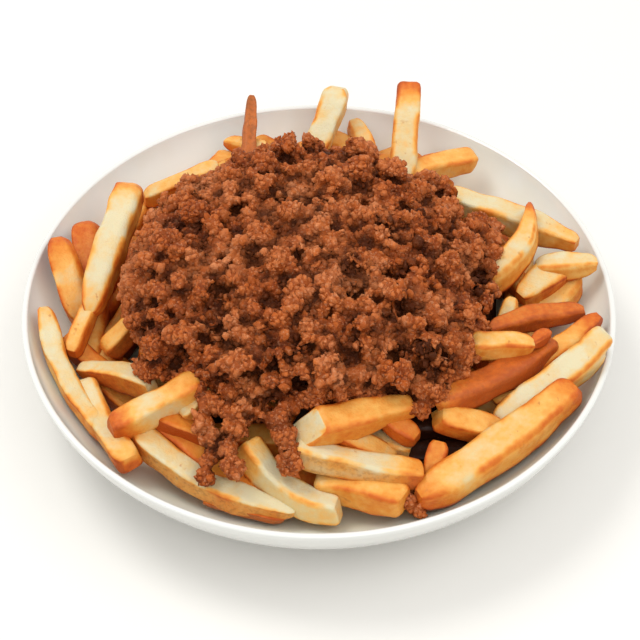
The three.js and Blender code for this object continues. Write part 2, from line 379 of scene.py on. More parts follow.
def keep_result(piece: bpy.types.Object) -> None:
    """Puts what a piece's modifiers make in the place of its mesh, and removes them.

    Args:
        piece: The piece.
    """
    graph = bpy.context.evaluated_depsgraph_get()
    made = bpy.data.meshes.new_from_object(piece.evaluated_get(graph))
    old = piece.data
    piece.modifiers.clear()
    piece.data = made
    made.name = piece.name
    bpy.data.meshes.remove(old)


def new_piece(name: str, mesh: bpy.types.Mesh) -> bpy.types.Object:
    """Puts a mesh into the scene.

    Args:
        name: The piece's name.
        mesh: Its mesh, in metres.

    Returns:
        The new object, at the origin.
    """
    piece = bpy.data.objects.new(name, mesh)
    bpy.context.scene.collection.objects.link(piece)
    return piece


def finish_piece(piece: bpy.types.Object, node: Node, slot: Slot) -> None:
    """Makes a finished piece part of the object and logs its size.

    Args:
        piece: The piece, with its final mesh.
        node: The node that it stands for.
        slot: The record's material slot for its finish; not used.
    """
    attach(piece, BODY)
    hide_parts(node.value)
    triangles = sum(len(face.vertices) - 2 for face in piece.data.polygons)
    LOG.info("%s: %d triangles", piece.name, triangles)


def mesh_of(mesh: bmesh.types.BMesh, name: str) -> bpy.types.Mesh:
    """Keeps a mesh under a name.

    Args:
        mesh: The mesh as it was worked on, which is freed.
        name: The name.

    Returns:
        The kept mesh.
    """
    kept = bpy.data.meshes.new(name)
    mesh.to_mesh(kept)
    mesh.free()
    return kept


def join_rings(mesh: bmesh.types.BMesh, rings: Sequence[list[bmesh.types.BMVert]]) -> None:
    """Joins each ring of points to the next with faces.

    Args:
        mesh: The mesh that they are in.
        rings: The rings, all with as many points.
    """
    for low, high in zip(rings, rings[1:]):
        for side in range(len(low)):
            after = (side + 1) % len(low)
            mesh.faces.new((low[side], low[after], high[after], high[side]))


def close_ring(mesh: bmesh.types.BMesh, ring: list[bmesh.types.BMVert], middle: Point) -> None:
    """Closes a ring of points with a fan of faces.

    Args:
        mesh: The mesh that they are in.
        ring: The ring.
        middle: The point that the faces meet at, in metres.
    """
    hub = mesh.verts.new(middle)
    for side, point in enumerate(ring):
        mesh.faces.new((point, ring[(side + 1) % len(ring)], hub))


@dataclass(frozen=True)
class Roughened:
    """The group of nodes that gives a surface its fine unevenness, shared by the finishes."""

    name: str = "uneven_surface"
    grain_detail: float = 3
    lump_detail: float = 2

    def build(self) -> bpy.types.NodeTree:
        """Builds the group.

        Returns:
            A shader group that turns a grain's size and a lump's size into a height.
        """
        tree = bpy.data.node_groups.new(self.name, "ShaderNodeTree")
        for socket in ("Grain Size", "Lump Size", "Grain Share"):
            tree.interface.new_socket(socket, in_out="INPUT", socket_type="NodeSocketFloat")
        tree.interface.new_socket("Height", in_out="OUTPUT", socket_type="NodeSocketFloat")
        graph = NodeGraph(tree)
        given = graph.add("NodeGroupInput").outputs
        place = graph.add("ShaderNodeTexCoord").outputs["Object"]
        patterns = []
        for size, detail in (("Grain Size", self.grain_detail), ("Lump Size", self.lump_detail)):
            scale = graph.math("DIVIDE", 1.0, given[size])
            inputs = {"Vector": place, "Scale": scale, "Detail": detail}
            patterns.append(graph.add("ShaderNodeTexNoise", inputs))
        fine = graph.times(patterns[0], given["Grain Share"])
        coarse = graph.times(patterns[1], graph.minus(1.0, given["Grain Share"]))
        graph.add("NodeGroupOutput", {"Height": graph.plus(fine, coarse)})
        return tree


@dataclass(frozen=True)
class Pattern:
    """A cloudy pattern in a finish, of a size in millimetres.

    The share is how much of it counts. A mask made of it is 0 at low and 1 at high.
    """

    size: float
    share: float = 1
    detail: float = 2
    low: float = 0
    high: float = 1


@dataclass(frozen=True)
class Grain:
    """The fine unevenness of a finish: its sizes and its depth, in millimetres.

    The share is how much of its height is grains and not lumps.
    """

    size: float
    lump_size: float
    share: float
    depth: float


class Finish:
    """A finish of the object: one material, with the node group that the finishes share."""

    def __init__(self, name: str, uneven: bpy.types.NodeTree) -> None:
        """Starts the material.

        Args:
            name: The material's name.
            uneven: The shared group for fine unevenness.
        """
        self.material = bpy.data.materials.new(name)
        self.material.use_nodes = True
        self.graph = NodeGraph(self.material.node_tree)
        self.shader = self.material.node_tree.nodes["Principled BSDF"]
        self.uneven = uneven

    def attribute(self, name: str, output: str = "Fac") -> Socket:
        """Reads a value that the mesh carries."""
        return self.graph.add("ShaderNodeAttribute", attribute_name=name).outputs[output]

    def place(self) -> Socket:
        """Gives the place on the object."""
        return self.graph.add("ShaderNodeTexCoord").outputs["Object"]

    def cloud(self, pattern: Pattern) -> Socket:
        """Adds a pattern to the material.

        Args:
            pattern: The pattern.

        Returns:
            The socket of its values, from 0 to 1.
        """
        scale = 1 / (pattern.size * MM)
        inputs = {"Vector": self.place(), "Scale": scale, "Detail": pattern.detail}
        return self.graph.add("ShaderNodeTexNoise", inputs).outputs[0]

    def mask(self, pattern: Pattern) -> Socket:
        """Adds a pattern as a mask."""
        return self.graph.ramp(self.cloud(pattern), pattern.low, pattern.high)

    def roughen(self, grain: Grain) -> None:
        """Gives the surface its fine unevenness.

        Args:
            grain: The unevenness.
        """
        inputs = {
            "Grain Size": grain.size * MM,
            "Lump Size": grain.lump_size * MM,
            "Grain Share": grain.share,
        }
        height = self.graph.add("ShaderNodeGroup", inputs, node_tree=self.uneven)
        bump = self.graph.add("ShaderNodeBump", {"Height": height, "Distance": grain.depth * MM})
        self.graph.feed(self.shader.inputs["Normal"], bump)

    def set(self, **values: object) -> None:
        """Sets the shader's own inputs, each by its name with _ for a space."""
        for name, value in values.items():
            self.graph.feed(self.shader.inputs[name.replace("_", " ")], value)


@dataclass(frozen=True)
class Glaze:
    """White glazed stoneware, duller where food has rubbed it, warmer and yellower low in the bowl.

    The mesh says which faces are the plate's inside (inside). The inside's colours are painted
    light: brighter and cooler than the outside's, to lift the shade in the bowl and to cancel the
    warm light that the food throws onto the glaze.
    """

    # The inside's plain and rubbed colours are painted light: brighter and cooler than the
    # outside's.
    white: Colour = colour_of(242, 253, 250)
    rubbed: Colour = colour_of(238, 248, 242)
    greasy: Colour = colour_of(242, 242, 216)
    thin: Colour = colour_of(219, 220, 216)
    wear: Pattern = Pattern(26, low=0.42, high=0.72)
    warm_heights: Pair = (14, 44)
    warm_share: float = 0.5
    worn_warm_share: float = 0.4
    roughness: float = 0.16
    worn_roughness: float = 0.08
    coat: float = 0.4
    coat_roughness: float = 0.06
    grain: Grain = Grain(5, 30, 0.2, 0.12)

    def build(self, uneven: bpy.types.NodeTree) -> bpy.types.Material:
        """Builds the finish.

        Args:
            uneven: The shared group for fine unevenness.

        Returns:
            Its material.
        """
        finish = Finish("white_glaze", uneven)
        graph = finish.graph
        inside = finish.attribute("inside")
        rubbed = finish.mask(self.wear)
        height = graph.split(finish.place())["Z"]
        low = graph.minus(1.0, graph.ramp(height, *(limit * MM for limit in self.warm_heights)))
        warm_strength = graph.plus(graph.times(rubbed, self.worn_warm_share), self.warm_share)
        greasy = graph.times(graph.times(low, inside), warm_strength)
        # Painted light: the inside takes the brighter, cooler colours, and the outside and lip the
        # plain one.
        inner = graph.mix(greasy, graph.mix(rubbed, self.white, self.rubbed), self.greasy)
        finish.set(
            Base_Color=graph.mix(inside, self.thin, inner),
            Roughness=graph.plus(graph.times(rubbed, self.worn_roughness), self.roughness),
            Coat_Weight=self.coat,
            Coat_Roughness=self.coat_roughness,
        )
        finish.roughen(self.grain)
        return finish.material


@dataclass(frozen=True)
class FriedPotato:
    """Fried potato: pale on its cut faces, golden to brown along its edges, ends and skin.

    The mesh says how brown each fry is (tone), how much more so on its sides (side) and where
    it has skin (skin). The sides' extra brown, on faces that don't look up, is partly real
    browning and partly painted shade. It also gives the place across the fry (section) and how
    far a face looks up (facing_up).
    """

    tones: tuple[tuple[float, Colour], ...] = (
        (0.0, colour_of(209, 197, 161)),
        (0.18, colour_of(214, 186, 132)),
        (0.36, colour_of(226, 169, 86)),
        (0.55, colour_of(217, 137, 51)),
        (0.74, colour_of(200, 98, 28)),
        (0.9, colour_of(166, 70, 18)),
        # The last stop, near black, is painted shade: only tones past brownest reach it, those of
        # the core and of the two fries laid in the front gap.
        (1.0, colour_of(48, 21, 8)),
    )
    skin: Colour = colour_of(176, 106, 50)
    speck: Colour = colour_of(126, 72, 34)
    patches: Pattern = Pattern(13, 0.85)
    patched_up_to: float = 1.1  # the tone of a fry that shows no patches
    blisters: Pattern = Pattern(2.6, 0.3, 3)
    spots: Pattern = Pattern(3.4, 0.55, 2, 0.66, 0.74)
    spotted_patches: Pair = (0.45, 0.6)
    specks: Pattern = Pattern(1.8, 0.6, 4, 0.46, 0.66)
    edge: Pair = (0.26, 0.46)  # from the middle line, in widths
    edge_patches: Pair = (0.3, 0.6)
    edge_share: float = 0.42
    sideways: Pair = (0.25, 0.9)
    skin_from: Pair = (-0.15, 0.25)  # below the middle line, in widths
    skin_share: float = 0.6
    brownest: float = 0.9
    roughness: float = 0.3
    blister_roughness: float = 0.3
    specular: float = 0.22
    subsurface: float = 0.12
    subsurface_radius: Point = (1.0, 0.55, 0.25)
    subsurface_depth: float = 1.6
    grain: Grain = Grain(0.9, 4, 0.45, 0.55)

    def build(self, uneven: bpy.types.NodeTree) -> bpy.types.Material:
        """Builds the finish.

        Args:
            uneven: The shared group for fine unevenness.

        Returns:
            Its material.
        """
        finish = Finish("fried_potato", uneven)
        graph = finish.graph
        section = graph.split(finish.attribute("section", "Vector"))
        tone, own_skin = finish.attribute("tone"), finish.attribute("skin")
        patches, blisters = finish.cloud(self.patches), finish.cloud(self.blisters)
        # Painted shade, partly real browning: faces that don't look up are drawn browner by side.
        sideways = graph.minus(1.0, finish.attribute("facing_up"))
        sideways = graph.ramp(sideways, *self.sideways)
        across, above = (graph.math("ABSOLUTE", section[axis]) for axis in "XY")
        edge = graph.ramp(graph.math("MINIMUM", across, above), *self.edge)
        edge = graph.times(edge, graph.minus(1.0, tone, clamp=True))
        patched = graph.minus(self.patched_up_to, tone, clamp=True)
        parts = (
            (graph.times(sideways, finish.attribute("side")), 1.0),
            (graph.times(edge, graph.ramp(patches, *self.edge_patches)), self.edge_share),
            (graph.times(graph.minus(patches, PATTERN_MIDDLE), patched), self.patches.share),
            (graph.minus(blisters, PATTERN_MIDDLE), self.blisters.share),
        )
        total = tone
        for value, share in parts:
            total = graph.plus(total, graph.times(value, share))
        limit = graph.math("MAXIMUM", tone, self.brownest)
        colour = graph.colours(graph.math("MINIMUM", total, limit), self.tones)
        spots = graph.times(finish.mask(self.spots), graph.ramp(patches, *self.spotted_patches))
        colour = graph.mix(graph.times(spots, self.spots.share), colour, self.skin)
        below = graph.ramp(graph.times(section["Y"], -1.0), *self.skin_from)
        skin = graph.times(graph.times(below, sideways), own_skin)
        skin = graph.math("MAXIMUM", skin, graph.minus(own_skin, 1.0))
        colour = graph.mix(graph.times(skin, self.skin_share, clamp=True), colour, self.skin)
        specks = graph.times(graph.times(skin, finish.mask(self.specks)), self.specks.share)
        finish.set(
            Base_Color=graph.mix(specks, colour, self.speck),
            Roughness=graph.plus(graph.times(blisters, self.blister_roughness), self.roughness),
            Specular_IOR_Level=self.specular,
            Subsurface_Weight=self.subsurface,
            Subsurface_Radius=self.subsurface_radius,
            Subsurface_Scale=self.subsurface_depth * MM,
        )
        finish.roughen(self.grain)
        return finish.material


@dataclass(frozen=True)
class CrumbledMeat:
    """Moist browned mince: each crumb has a tone of its own, and painted shade darkens hollows.

    The mesh gives each crumb's shade (shade), a drawn tone with painted light that makes crumbs
    clear of pits lighter, and how deep a point lies in a hollow (hollow), which mixes in the
    near-black of painted shade. The second of the clouds, which has the most detail, also changes
    the gloss. The flecks are broad patches of dull meat, fine dull flecks that are painted sheen
    in place of wet glints, then pale pink-tan flecks.
    """

    shades: tuple[tuple[float, Colour], ...] = (
        (0.0, colour_of(110, 40, 5)),
        (0.35, colour_of(166, 77, 23)),
        (0.65, colour_of(192, 105, 51)),
        (1.0, colour_of(206, 130, 84)),
    )
    own_share: float = 0.4
    clouds: tuple[Pattern, ...] = (
        Pattern(0.9, 0.3, 1),
        Pattern(1.6, 0.4, 4),
        Pattern(4.5, 0.5),
        Pattern(24, 1.6),
    )
    level: float = 0.31
    flecks: tuple[tuple[Pattern, Colour], ...] = (
        (Pattern(7, 0.3, low=0.46, high=0.61), colour_of(168, 93, 54)),
        # Painted sheen: these fine dull flecks stand in for the grey flicker of wet glints.
        (Pattern(1.3, 0.4, low=0.46, high=0.61), colour_of(168, 93, 54)),
        (Pattern(1.1, 0.55, low=0.55, high=0.7), colour_of(206, 144, 106)),
    )
    # The near-black of painted shade, mixed in by how deep a point lies in a hollow.
    deep: Colour = colour_of(40, 12, 2)
    painted_shade_share: float = 0.87
    roughness: float = 0.35
    cloud_roughness: float = 0.3
    specular: float = 0.1
    grain: Grain = Grain(0.7, 1.6, 0.6, 1)

    def build(self, uneven: bpy.types.NodeTree) -> bpy.types.Material:
        """Builds the finish.

        Args:
            uneven: The shared group for fine unevenness.

        Returns:
            Its material.
        """
        finish = Finish("chili_meat", uneven)
        graph = finish.graph
        clouds = [finish.cloud(pattern) for pattern in self.clouds]
        # A crumb's shade is a drawn tone with painted light: crumbs clear of pits are lighter.
        value = graph.times(finish.attribute("shade"), self.own_share)
        for cloud, pattern in zip(clouds, self.clouds):
            swing = graph.minus(cloud, PATTERN_MIDDLE)
            value = graph.plus(value, graph.times(swing, pattern.share))
        colour = graph.colours(graph.plus(value, self.level), self.shades)
        for pattern, fleck in self.flecks:
            colour = graph.mix(graph.times(finish.mask(pattern), pattern.share), colour, fleck)
        # Painted shade: points in hollows, at crumbs' feet and on the bare skin between crumbs
        # darken.
        hollow = graph.times(finish.attribute("hollow"), self.painted_shade_share)
        finish.set(
            Base_Color=graph.mix(hollow, colour, self.deep),
            Roughness=graph.plus(graph.times(clouds[1], self.cloud_roughness), self.roughness),
            Specular_IOR_Level=self.specular,
        )
        finish.roughen(self.grain)
        return finish.material


@dataclass
class Plate:
    """The round plate: a level floor, a foot ring and sloping sides up to a rounded lip.

    The turns are the points that the wall's faces head for before they reach the lip.
    """

    radius: float = 127
    height: float = 44
    lip_width: float = 2.7
    lip_drop: float = 1
    floor_radius: float = 66
    floor_height: float = 7
    foot: tuple[Pair, ...] = (  # from its inner side round to its outer side
        (67, 3), (68, 2.5), (68.7, 0.7), (69.6, 0), (73.8, 0), (74.7, 0.5), (75, 1.4), (75.8, 2.6),
    )
    foot_height: float = 3
    shoulder: float = 78
    inner_flare: float = 98
    inner_turn: Pair = (120.5, 27)
    outer_flare: float = 104
    outer_turn: Pair = (124.5, 26)
    wall_steps: int = 28
    lip_steps: int = 8
    sides: int = 224

    @staticmethod
    def curve(points: Sequence[Pair], steps: int) -> list[Pair]:
        """Follows a cubic Bezier curve.

        Args:
            points: Its two ends, with the two points that it heads for between them.
            steps: The number of steps along it.

        Returns:
            The points on the curve, both ends among them.
        """
        a, b, c, d = (np.array(point, float) for point in points)
        shares = np.linspace(0, 1, steps + 1)[:, None]
        rest = 1 - shares
        made = rest**3 * a + 3 * rest**2 * shares * b + 3 * rest * shares**2 * c + shares**3 * d
        return [tuple(point) for point in made]

    def inner_wall(self) -> list[Pair]:
        """Draws the inner face of the wall.

        Returns:
            Its radius and height at each step, from the floor up to the lip.
        """
        start = (self.floor_radius, self.floor_height)
        end = (self.radius - self.lip_width, self.height - self.lip_drop)
        flare = (self.inner_flare, self.floor_height)
        return self.curve((start, flare, self.inner_turn, end), self.wall_steps)

    def outer_wall(self) -> list[Pair]:
        """Draws the outer face of the wall.

        Returns:
            Its radius and height at each step, from the shoulder up to the lip.
        """
        start = (self.shoulder, self.foot_height)
        end = (self.radius, self.height - self.lip_drop)
        flare = (self.outer_flare, self.foot_height)
        return self.curve((start, flare, self.outer_turn, end), self.wall_steps)

    def lip(self) -> list[Pair]:
        """Draws the rounded top of the lip.

        Returns:
            Its radius and height at each step, from outside to inside, without its ends.
        """
        half, low = self.lip_width / 2, self.height - self.lip_drop
        middle = self.radius - half
        angles = [math.pi * step / self.lip_steps for step in range(1, self.lip_steps)]
        return [(middle + half * math.cos(a), low + self.lip_drop * math.sin(a)) for a in angles]

    def wall_height(self, radius: float) -> float:
        """Finds how high the inner surface is.

        Args:
            radius: The distance from the plate's axis.

        Returns:
            The height there.
        """
        away, up = zip(*self.inner_wall())
        return float(np.interp(radius, away, up, left=self.floor_height, right=self.height))

    def build(self, material: bpy.types.Material) -> None:
        """Turns the profile into the plate and puts it into the object.

        Args:
            material: The plate's finish.
        """
        profile = [*self.foot, *self.outer_wall(), *self.lip(), *reversed(self.inner_wall())]
        mesh = bmesh.new()
        angles = np.linspace(0, 2 * math.pi, self.sides, endpoint=False)
        rings = [
            [mesh.verts.new((r * math.cos(a) * MM, r * math.sin(a) * MM, z * MM)) for a in angles]
            for r, z in profile
        ]
        join_rings(mesh, rings)
        for ring, height in ((rings[0], self.foot_height), (rings[-1], self.floor_height)):
            close_ring(mesh, ring, (0, 0, height * MM))
        bmesh.ops.recalc_face_normals(mesh, faces=mesh.faces)
        made = mesh_of(mesh, "plate")
        made.polygons.foreach_set("use_smooth", [True] * len(made.polygons))
        inner = (len(profile) - self.wall_steps - 1) * self.sides
        inside = made.attributes.new("inside", "FLOAT", "POINT").data
        last = len(inside) - 2  # the middle of the underside, which comes after the rings
        inside.foreach_set("value", [float(inner <= i != last) for i in range(len(inside))])
        made.materials.append(material)
        finish_piece(new_piece("serving_plate", made), Node.PLATE, Slot.GLAZE)


@dataclass(frozen=True)
class Fry:
    """One fry: where its middle line runs, its form and how brown it is.

    The tip and the tail are the shares of the width that are left at its first and last ends.
    A tone runs from 0, pale cream, to 0.9, dark brown, and past that to the near-black of
    painted shade. Side is how much browner the sides are, partly real browning and partly
    painted shade.
    Soft runs from 0, crisp edges, to 1, round ones. Skin runs from 0, none, to 1, on the sides
    and below, and what it has above 1 covers the whole fry. Flat is how much broader than its
    width the fry is, and how much lower. The slants are of its two cuts, and pale_cut is how
    much paler the cut face at its first end is.
    """

    start: Point
    end: Point
    width: float = 11
    bow: float = 0
    rise: float = 0
    tip: float = 0.88
    tail: float = 0.88
    tone: float = 0.3
    start_tone: float = 0
    end_tone: float = 0
    side: float = 0.3
    soft: float = 0.5
    skin: float = 0
    flat: float = 0
    slants: Pair = (0, 0)
    pale_cut: float = 0


LEFT_FRIES = (
    Fry((-84, 57, 54), (-98, -9, 41), 11, -1, 5, 0.95, 0.6, 0.08, start_tone=0.4, end_tone=0.15,
        side=0.45, soft=0.7),
    Fry((-96, 2, 42), (-104, -27, 36), 7.5, tip=0.8, tone=0.24, end_tone=0.15, side=0.35,
        soft=0.6),
    Fry((-104, 48, 40), (-98, 10, 30), 12, tip=0.75, tone=0.66, start_tone=0.06, soft=1),
    Fry((-115, 29, 40), (-102, -4, 26), 13.5, tip=0.8, tail=0.7, tone=0.32, start_tone=0.4,
        soft=1, slants=(-0.55, 0)),
    Fry((-117, -7, 40), (-84, -70, 31), 10, 5, -2, 0.7, 0.85, 0.12, end_tone=0.15, side=0.35,
        soft=0.6),
    Fry((-97, -40, 33), (-75, -86, 38), 10, 2, -3, tone=0.1, end_tone=0.35, side=0.35, soft=0.5),
    Fry((-84, -72, 40), (-48, -56, 49), 13, tail=0.95, tone=0.2, start_tone=0.56, end_tone=0.3,
        side=0.04, soft=0.35, flat=0.12),
    Fry((-100, -33, 32), (-68, -50, 41), 11.5, -2, tip=0.6, tone=0.2, side=0.5, soft=0.6,
        skin=0.4),
    Fry((-90, -22, 31), (-75, -10, 43), 11, tone=0.36, soft=0.7, skin=0.5),
    Fry((-80, 66, 38), (-45, 77, 48), 9.5, tone=0.3, soft=0.5),
)
FRONT_FRIES = (
    Fry((-66, -65, 40), (-42, -72, 35), 10, tone=0.66, soft=0.8),
    Fry((-54, -66, 42), (-42, -58, 48), 8, tone=0.3),
    Fry((-74, -70, 36), (-10, -102, 24), 10.5, 5, -3, tail=0.45, tone=0.04, start_tone=0.25,
        side=0.42, skin=0.6, flat=0.15),
    Fry((-46, -95, 19), (-14, -103, 22), 5.5, tip=0.4, tone=0.6, end_tone=0.12, skin=0.9),
    Fry((-67, -63, 36), (-16, -96, 20), 9, 2, tone=0.6),
    Fry((-29, -77, 38), (8, -102, 27), 11.5, 5, -4, tone=0.02, start_tone=0.3, side=0.25,
        soft=0.1, flat=0.22),
    Fry((-5, -78, 48), (38, -64, 47), 12, tip=1.0, tail=0.6, tone=0.51, side=0.06, soft=0.05,
        slants=(-0.75, 0), pale_cut=0.46),
    Fry((-9, -83, 41), (40, -89, 33), 10.5, 1, tone=0.02, end_tone=0.5, side=0.28, soft=0.1,
        skin=0.5, flat=0.12),
    Fry((-1, -88, 27), (34, -100, 25), 12.5, -1, tone=0.38, end_tone=0.1, side=0.05, soft=0.3),
    Fry((4, -74, 43), (31, -78, 28), 10.5, tone=0.36, soft=0.3),
    Fry((25, -66, 43), (40, -74, 37), 8.5, tone=0.56, end_tone=0.1, side=0.1, pale_cut=0.1),
    Fry((18, -68, 31), (38, -74, 30), 8.5, tone=0.2, side=0.1),
    Fry((-15, -76, 24), (1, -86, 16), 10, tone=0.66),
    # Two near-black fries laid as painted shade in the dark gap under the front fries.
    Fry((20, -60, 29), (62, -60, 28), 14, tone=1.2),
    Fry((34, -72, 24), (66, -72, 24), 12, tone=1.2),
)
RIGHT_FRIES = (
    Fry((105, -52, 40.5), (39, -98, 26), 12.2, -2.2, -2, 0.68, 0.75, 0.3, start_tone=0.36,
        end_tone=0.28, side=0.14, soft=0.6, skin=1),
    Fry((118, -32, 44), (73, -63, 32), 12.8, -1.5, -1, 0.75, tone=0.02, side=0.25, soft=0.5,
        flat=0.12),
    Fry((119, -14, 46), (73, -52, 33), 8.5, tip=0.5, tone=0.42, start_tone=0.4),
    Fry((98, -28, 45), (47, -61, 45), 9.6, -3.6, tip=0.7, tone=0.82, end_tone=-0.3, side=0.16,
        soft=0.7, skin=1.3),
    Fry((113, -11, 45), (72, -24, 48), 7.6, 2, tip=0.65, tail=0.6, tone=0.72, side=0.16, soft=0.7,
        skin=1.25),
    Fry((88, -36, 52), (62, -38, 54), 11, tip=0.5, tone=0.28, side=0.2, soft=0.4),
    Fry((48, -66, 42), (76, -67, 31), 11, tone=0.42, side=0.25),
    Fry((49, -75, 37), (45, -88, 28), 8.5, tone=0.58),
    Fry((57, 55, 49), (114, 29, 41), 12.5, -1, tail=0.65, tone=0.14, end_tone=0.12, side=0.22,
        soft=0.6),
    Fry((93, 41, 59), (72, 5, 46), 11, -7, 2, 0.25, tone=0.16, start_tone=0.62, side=0.3,
        soft=0.8),
    Fry((120, 14, 49), (94, 15, 45), 8.5, tip=0.7, tone=0.18, soft=0.7),
    Fry((107, 18, 42), (87, 1, 40), 12, tail=0.7, tone=0.16, side=0.5, soft=0.4),
    Fry((112, 17, 38), (99, -3, 31), 10.5, tone=0.3, soft=0.6),
    Fry((83, -3, 45), (76, -25, 36), 7, tone=0.22, soft=0.8),
    Fry((96, -28, 51), (87, -36, 53), 5, tone=0.74, soft=0.9),
)
BACK_FRIES = (
    Fry((30, 68, 46), (72, 88, 43), 10.5, -2, tone=0.36, end_tone=0.12, side=0.0, soft=0.4),
    Fry((38, 70, 45), (42, 114, 65), 11, tone=0.12, end_tone=0.62, side=0.15, soft=0.3),
    Fry((24, 88, 43), (16, 114, 44), 9, tone=0.24, tail=0.7, soft=0.6),
    Fry((-4, 84, 43), (9, 118, 62), 11.5, tone=0.1, side=0.25, soft=0.5, slants=(0, 0.6)),
    Fry((-34, 78, 45), (-31, 114, 59), 6, tail=0.75, tone=0.8, end_tone=0.15, soft=0.9, skin=1.9),
    Fry((-24, 88, 47), (-44, 99, 45), 8, tail=0.6, tone=0.28, end_tone=0.1, soft=0.9),
)


@dataclass(frozen=True)
class Layer:
    """A ring, or part of one, of fries that fill the plate under those that show."""

    count: int
    start: float
    turn: float
    reach: float
    height: float
    length: float


@dataclass
class Fries:
    """The heap of fries: a bare core, the fries that fill the plate, and those that show."""

    plate: Plate
    gap: float = 0.35
    centre: Pair = (0, 11)
    core: tuple[Pair, ...] = ((78, 7.4), (80, 18), (74, 32), (60, 41))
    core_sides: int = 96
    # Past the browning scale, so that the core is near black: painted shade in the gaps between
    # fries.
    core_shade_tone: float = 1.2
    core_wobble: float = 0.02  # of its radius
    core_waves: int = 9
    line_steps: int = 80
    step: float = 2.6
    end_steps: tuple[float, ...] = (0, 0.25, 0.7, 1.4, 2.4, 3.8)
    seed_step: int = 31
    variety: float = 0.12
    tone_reach: float = 11
    slant: float = 0.35
    slant_reach: float = 7
    section_points: int = 32
    corner: float = 0.13  # of the width, as is the round section's radius
    corner_points: int = 4
    round_radius: float = 0.53
    bend: float = 3.4
    bend_size: float = 24
    dent: float = 1.1
    dent_size: float = 9
    bulge: float = 0.05
    bulge_lengths: tuple[float, ...] = (62, 34, 22)
    bulge_shift: float = 6.3
    taper_reach: Pair = (8, 28)  # of a blunt end, and what a pointed one has more
    taper_curve: float = 1.4
    round_reach: Pair = (1.6, 4.4)  # of a crisp end, and what a soft one has more
    round_depth: Pair = (0.12, 0.42)  # the same, in widths
    round_curve: float = 2.3
    rest_on_face: float = 0.6
    rest_on_corner: float = 0.54
    corner_reach: float = 0.42
    source_layers: tuple[Layer, ...] = (
        Layer(20, 0, 360, 88, 0, 50),
        Layer(5, 150, 75, 98, 0, 44),
        Layer(4, 325, 60, 98, 0, 44),
        Layer(8, 58, 75, 84, 38, 46),
    )
    bed_layers: tuple[Layer, ...] = (
        Layer(18, 8, 360, 80, 29, 48),
        Layer(15, 0, 360, 67, 37, 50),
    )
    # The numbers of laid fries that aren't made, as they would show where the plate is bare or
    # where another fry lies.
    left_out: tuple[int, ...] = (6, 28, 29, 32, 51, 52, 54, 67, 68)
    fill_shift: float = 0.6  # of the way to the next fry
    swing: float = 35
    stray: float = 3
    fill_bow: float = 1.5
    fill_widths: Pair = (0.8, 1.1)
    fill_halves: Pair = (0.4, 0.6)
    fill_tones: Pair = (0.32, 0.34)  # the palest, and how much browner they get
    fill_tone_step: float = 0.618
    fill_end_tone: float = 0.2

    def on_wall(self, point: np.ndarray, width: float) -> np.ndarray:
        """Lifts a point of a middle line until the fry clears the plate's wall.

        Args:
            point: The point.
            width: The fry's width.

        Returns:
            The point, no lower than the wall lets it lie.
        """
        away = math.hypot(point[0], point[1])
        face = self.plate.wall_height(away) + self.rest_on_face * width
        corner = self.plate.wall_height(away + self.corner_reach * width)
        corner += self.rest_on_corner * width
        return np.array((point[0], point[1], max(point[2], face + self.gap, corner + self.gap)))

    def filling(self, layers: Sequence[Layer], draws: SeededDraws) -> list[Fry]:
        """Lays the fries of some layers, each roughly along the wall with a turn of its own.

        Args:
            layers: The layers.
            draws: Where their turns, lengths and places come from.

        Returns:
            The fries.
        """
        fries = []
        for layer in layers:
            for index in range(layer.count):
                share = (index + draws.between(0, self.fill_shift)) / layer.count
                bearing = math.radians(layer.start + layer.turn * share)
                swing = math.radians(draws.between(-self.swing, self.swing))
                heading = bearing + math.pi / 2 + swing
                half = layer.length * draws.between(*self.fill_halves)
                away = layer.reach + draws.between(-self.stray, self.stray)
                width = Fry.width * draws.between(*self.fill_widths)
                bow = draws.between(-self.fill_bow, self.fill_bow)
                x = self.centre[0] + away * math.cos(bearing)
                y = self.centre[1] + away * math.sin(bearing)
                dx, dy = half * math.cos(heading), half * math.sin(heading)
                palest, more = self.fill_tones
                tone = palest + more * (index * self.fill_tone_step % 1)
                end_tone = self.fill_end_tone * (index % 2)
                ends = ((x - dx, y - dy, layer.height), (x + dx, y + dy, layer.height))
                fries.append(Fry(*ends, width, bow=bow, tone=tone, end_tone=end_tone))
        return fries

    def line_of(self, fry: Fry) -> tuple[np.ndarray, np.ndarray]:
        """Follows a fry's middle line.

        Args:
            fry: The fry.

        Returns:
            The points along it, and each one's distance from the first end.
        """
        first = self.on_wall(np.array(fry.start, float), fry.width)
        last = self.on_wall(np.array(fry.end, float), fry.width)
        side = np.cross(last - first, (0, 0, 1))
        side /= np.linalg.norm(side)
        middle = (first + last) / 2 + 2 * fry.bow * side + np.array((0, 0, 2 * fry.rise))
        shares = np.linspace(0, 1, self.line_steps + 1)[:, None]
        fine = (1 - shares) ** 2 * first + 2 * shares * (1 - shares) * middle + shares**2 * last
        fine = np.array([self.on_wall(point, fry.width) for point in fine])
        run = np.concatenate(([0], np.cumsum(np.linalg.norm(np.diff(fine, axis=0), axis=1))))
        end = self.end_steps[-1]
        body = np.arange(end + self.step, run[-1] - end - self.step / 2, self.step)
        places = np.concatenate((self.end_steps, body, run[-1] - np.array(self.end_steps[::-1])))
        points = np.stack([np.interp(places, run, fine[:, axis]) for axis in range(3)], axis=1)
        return points, places

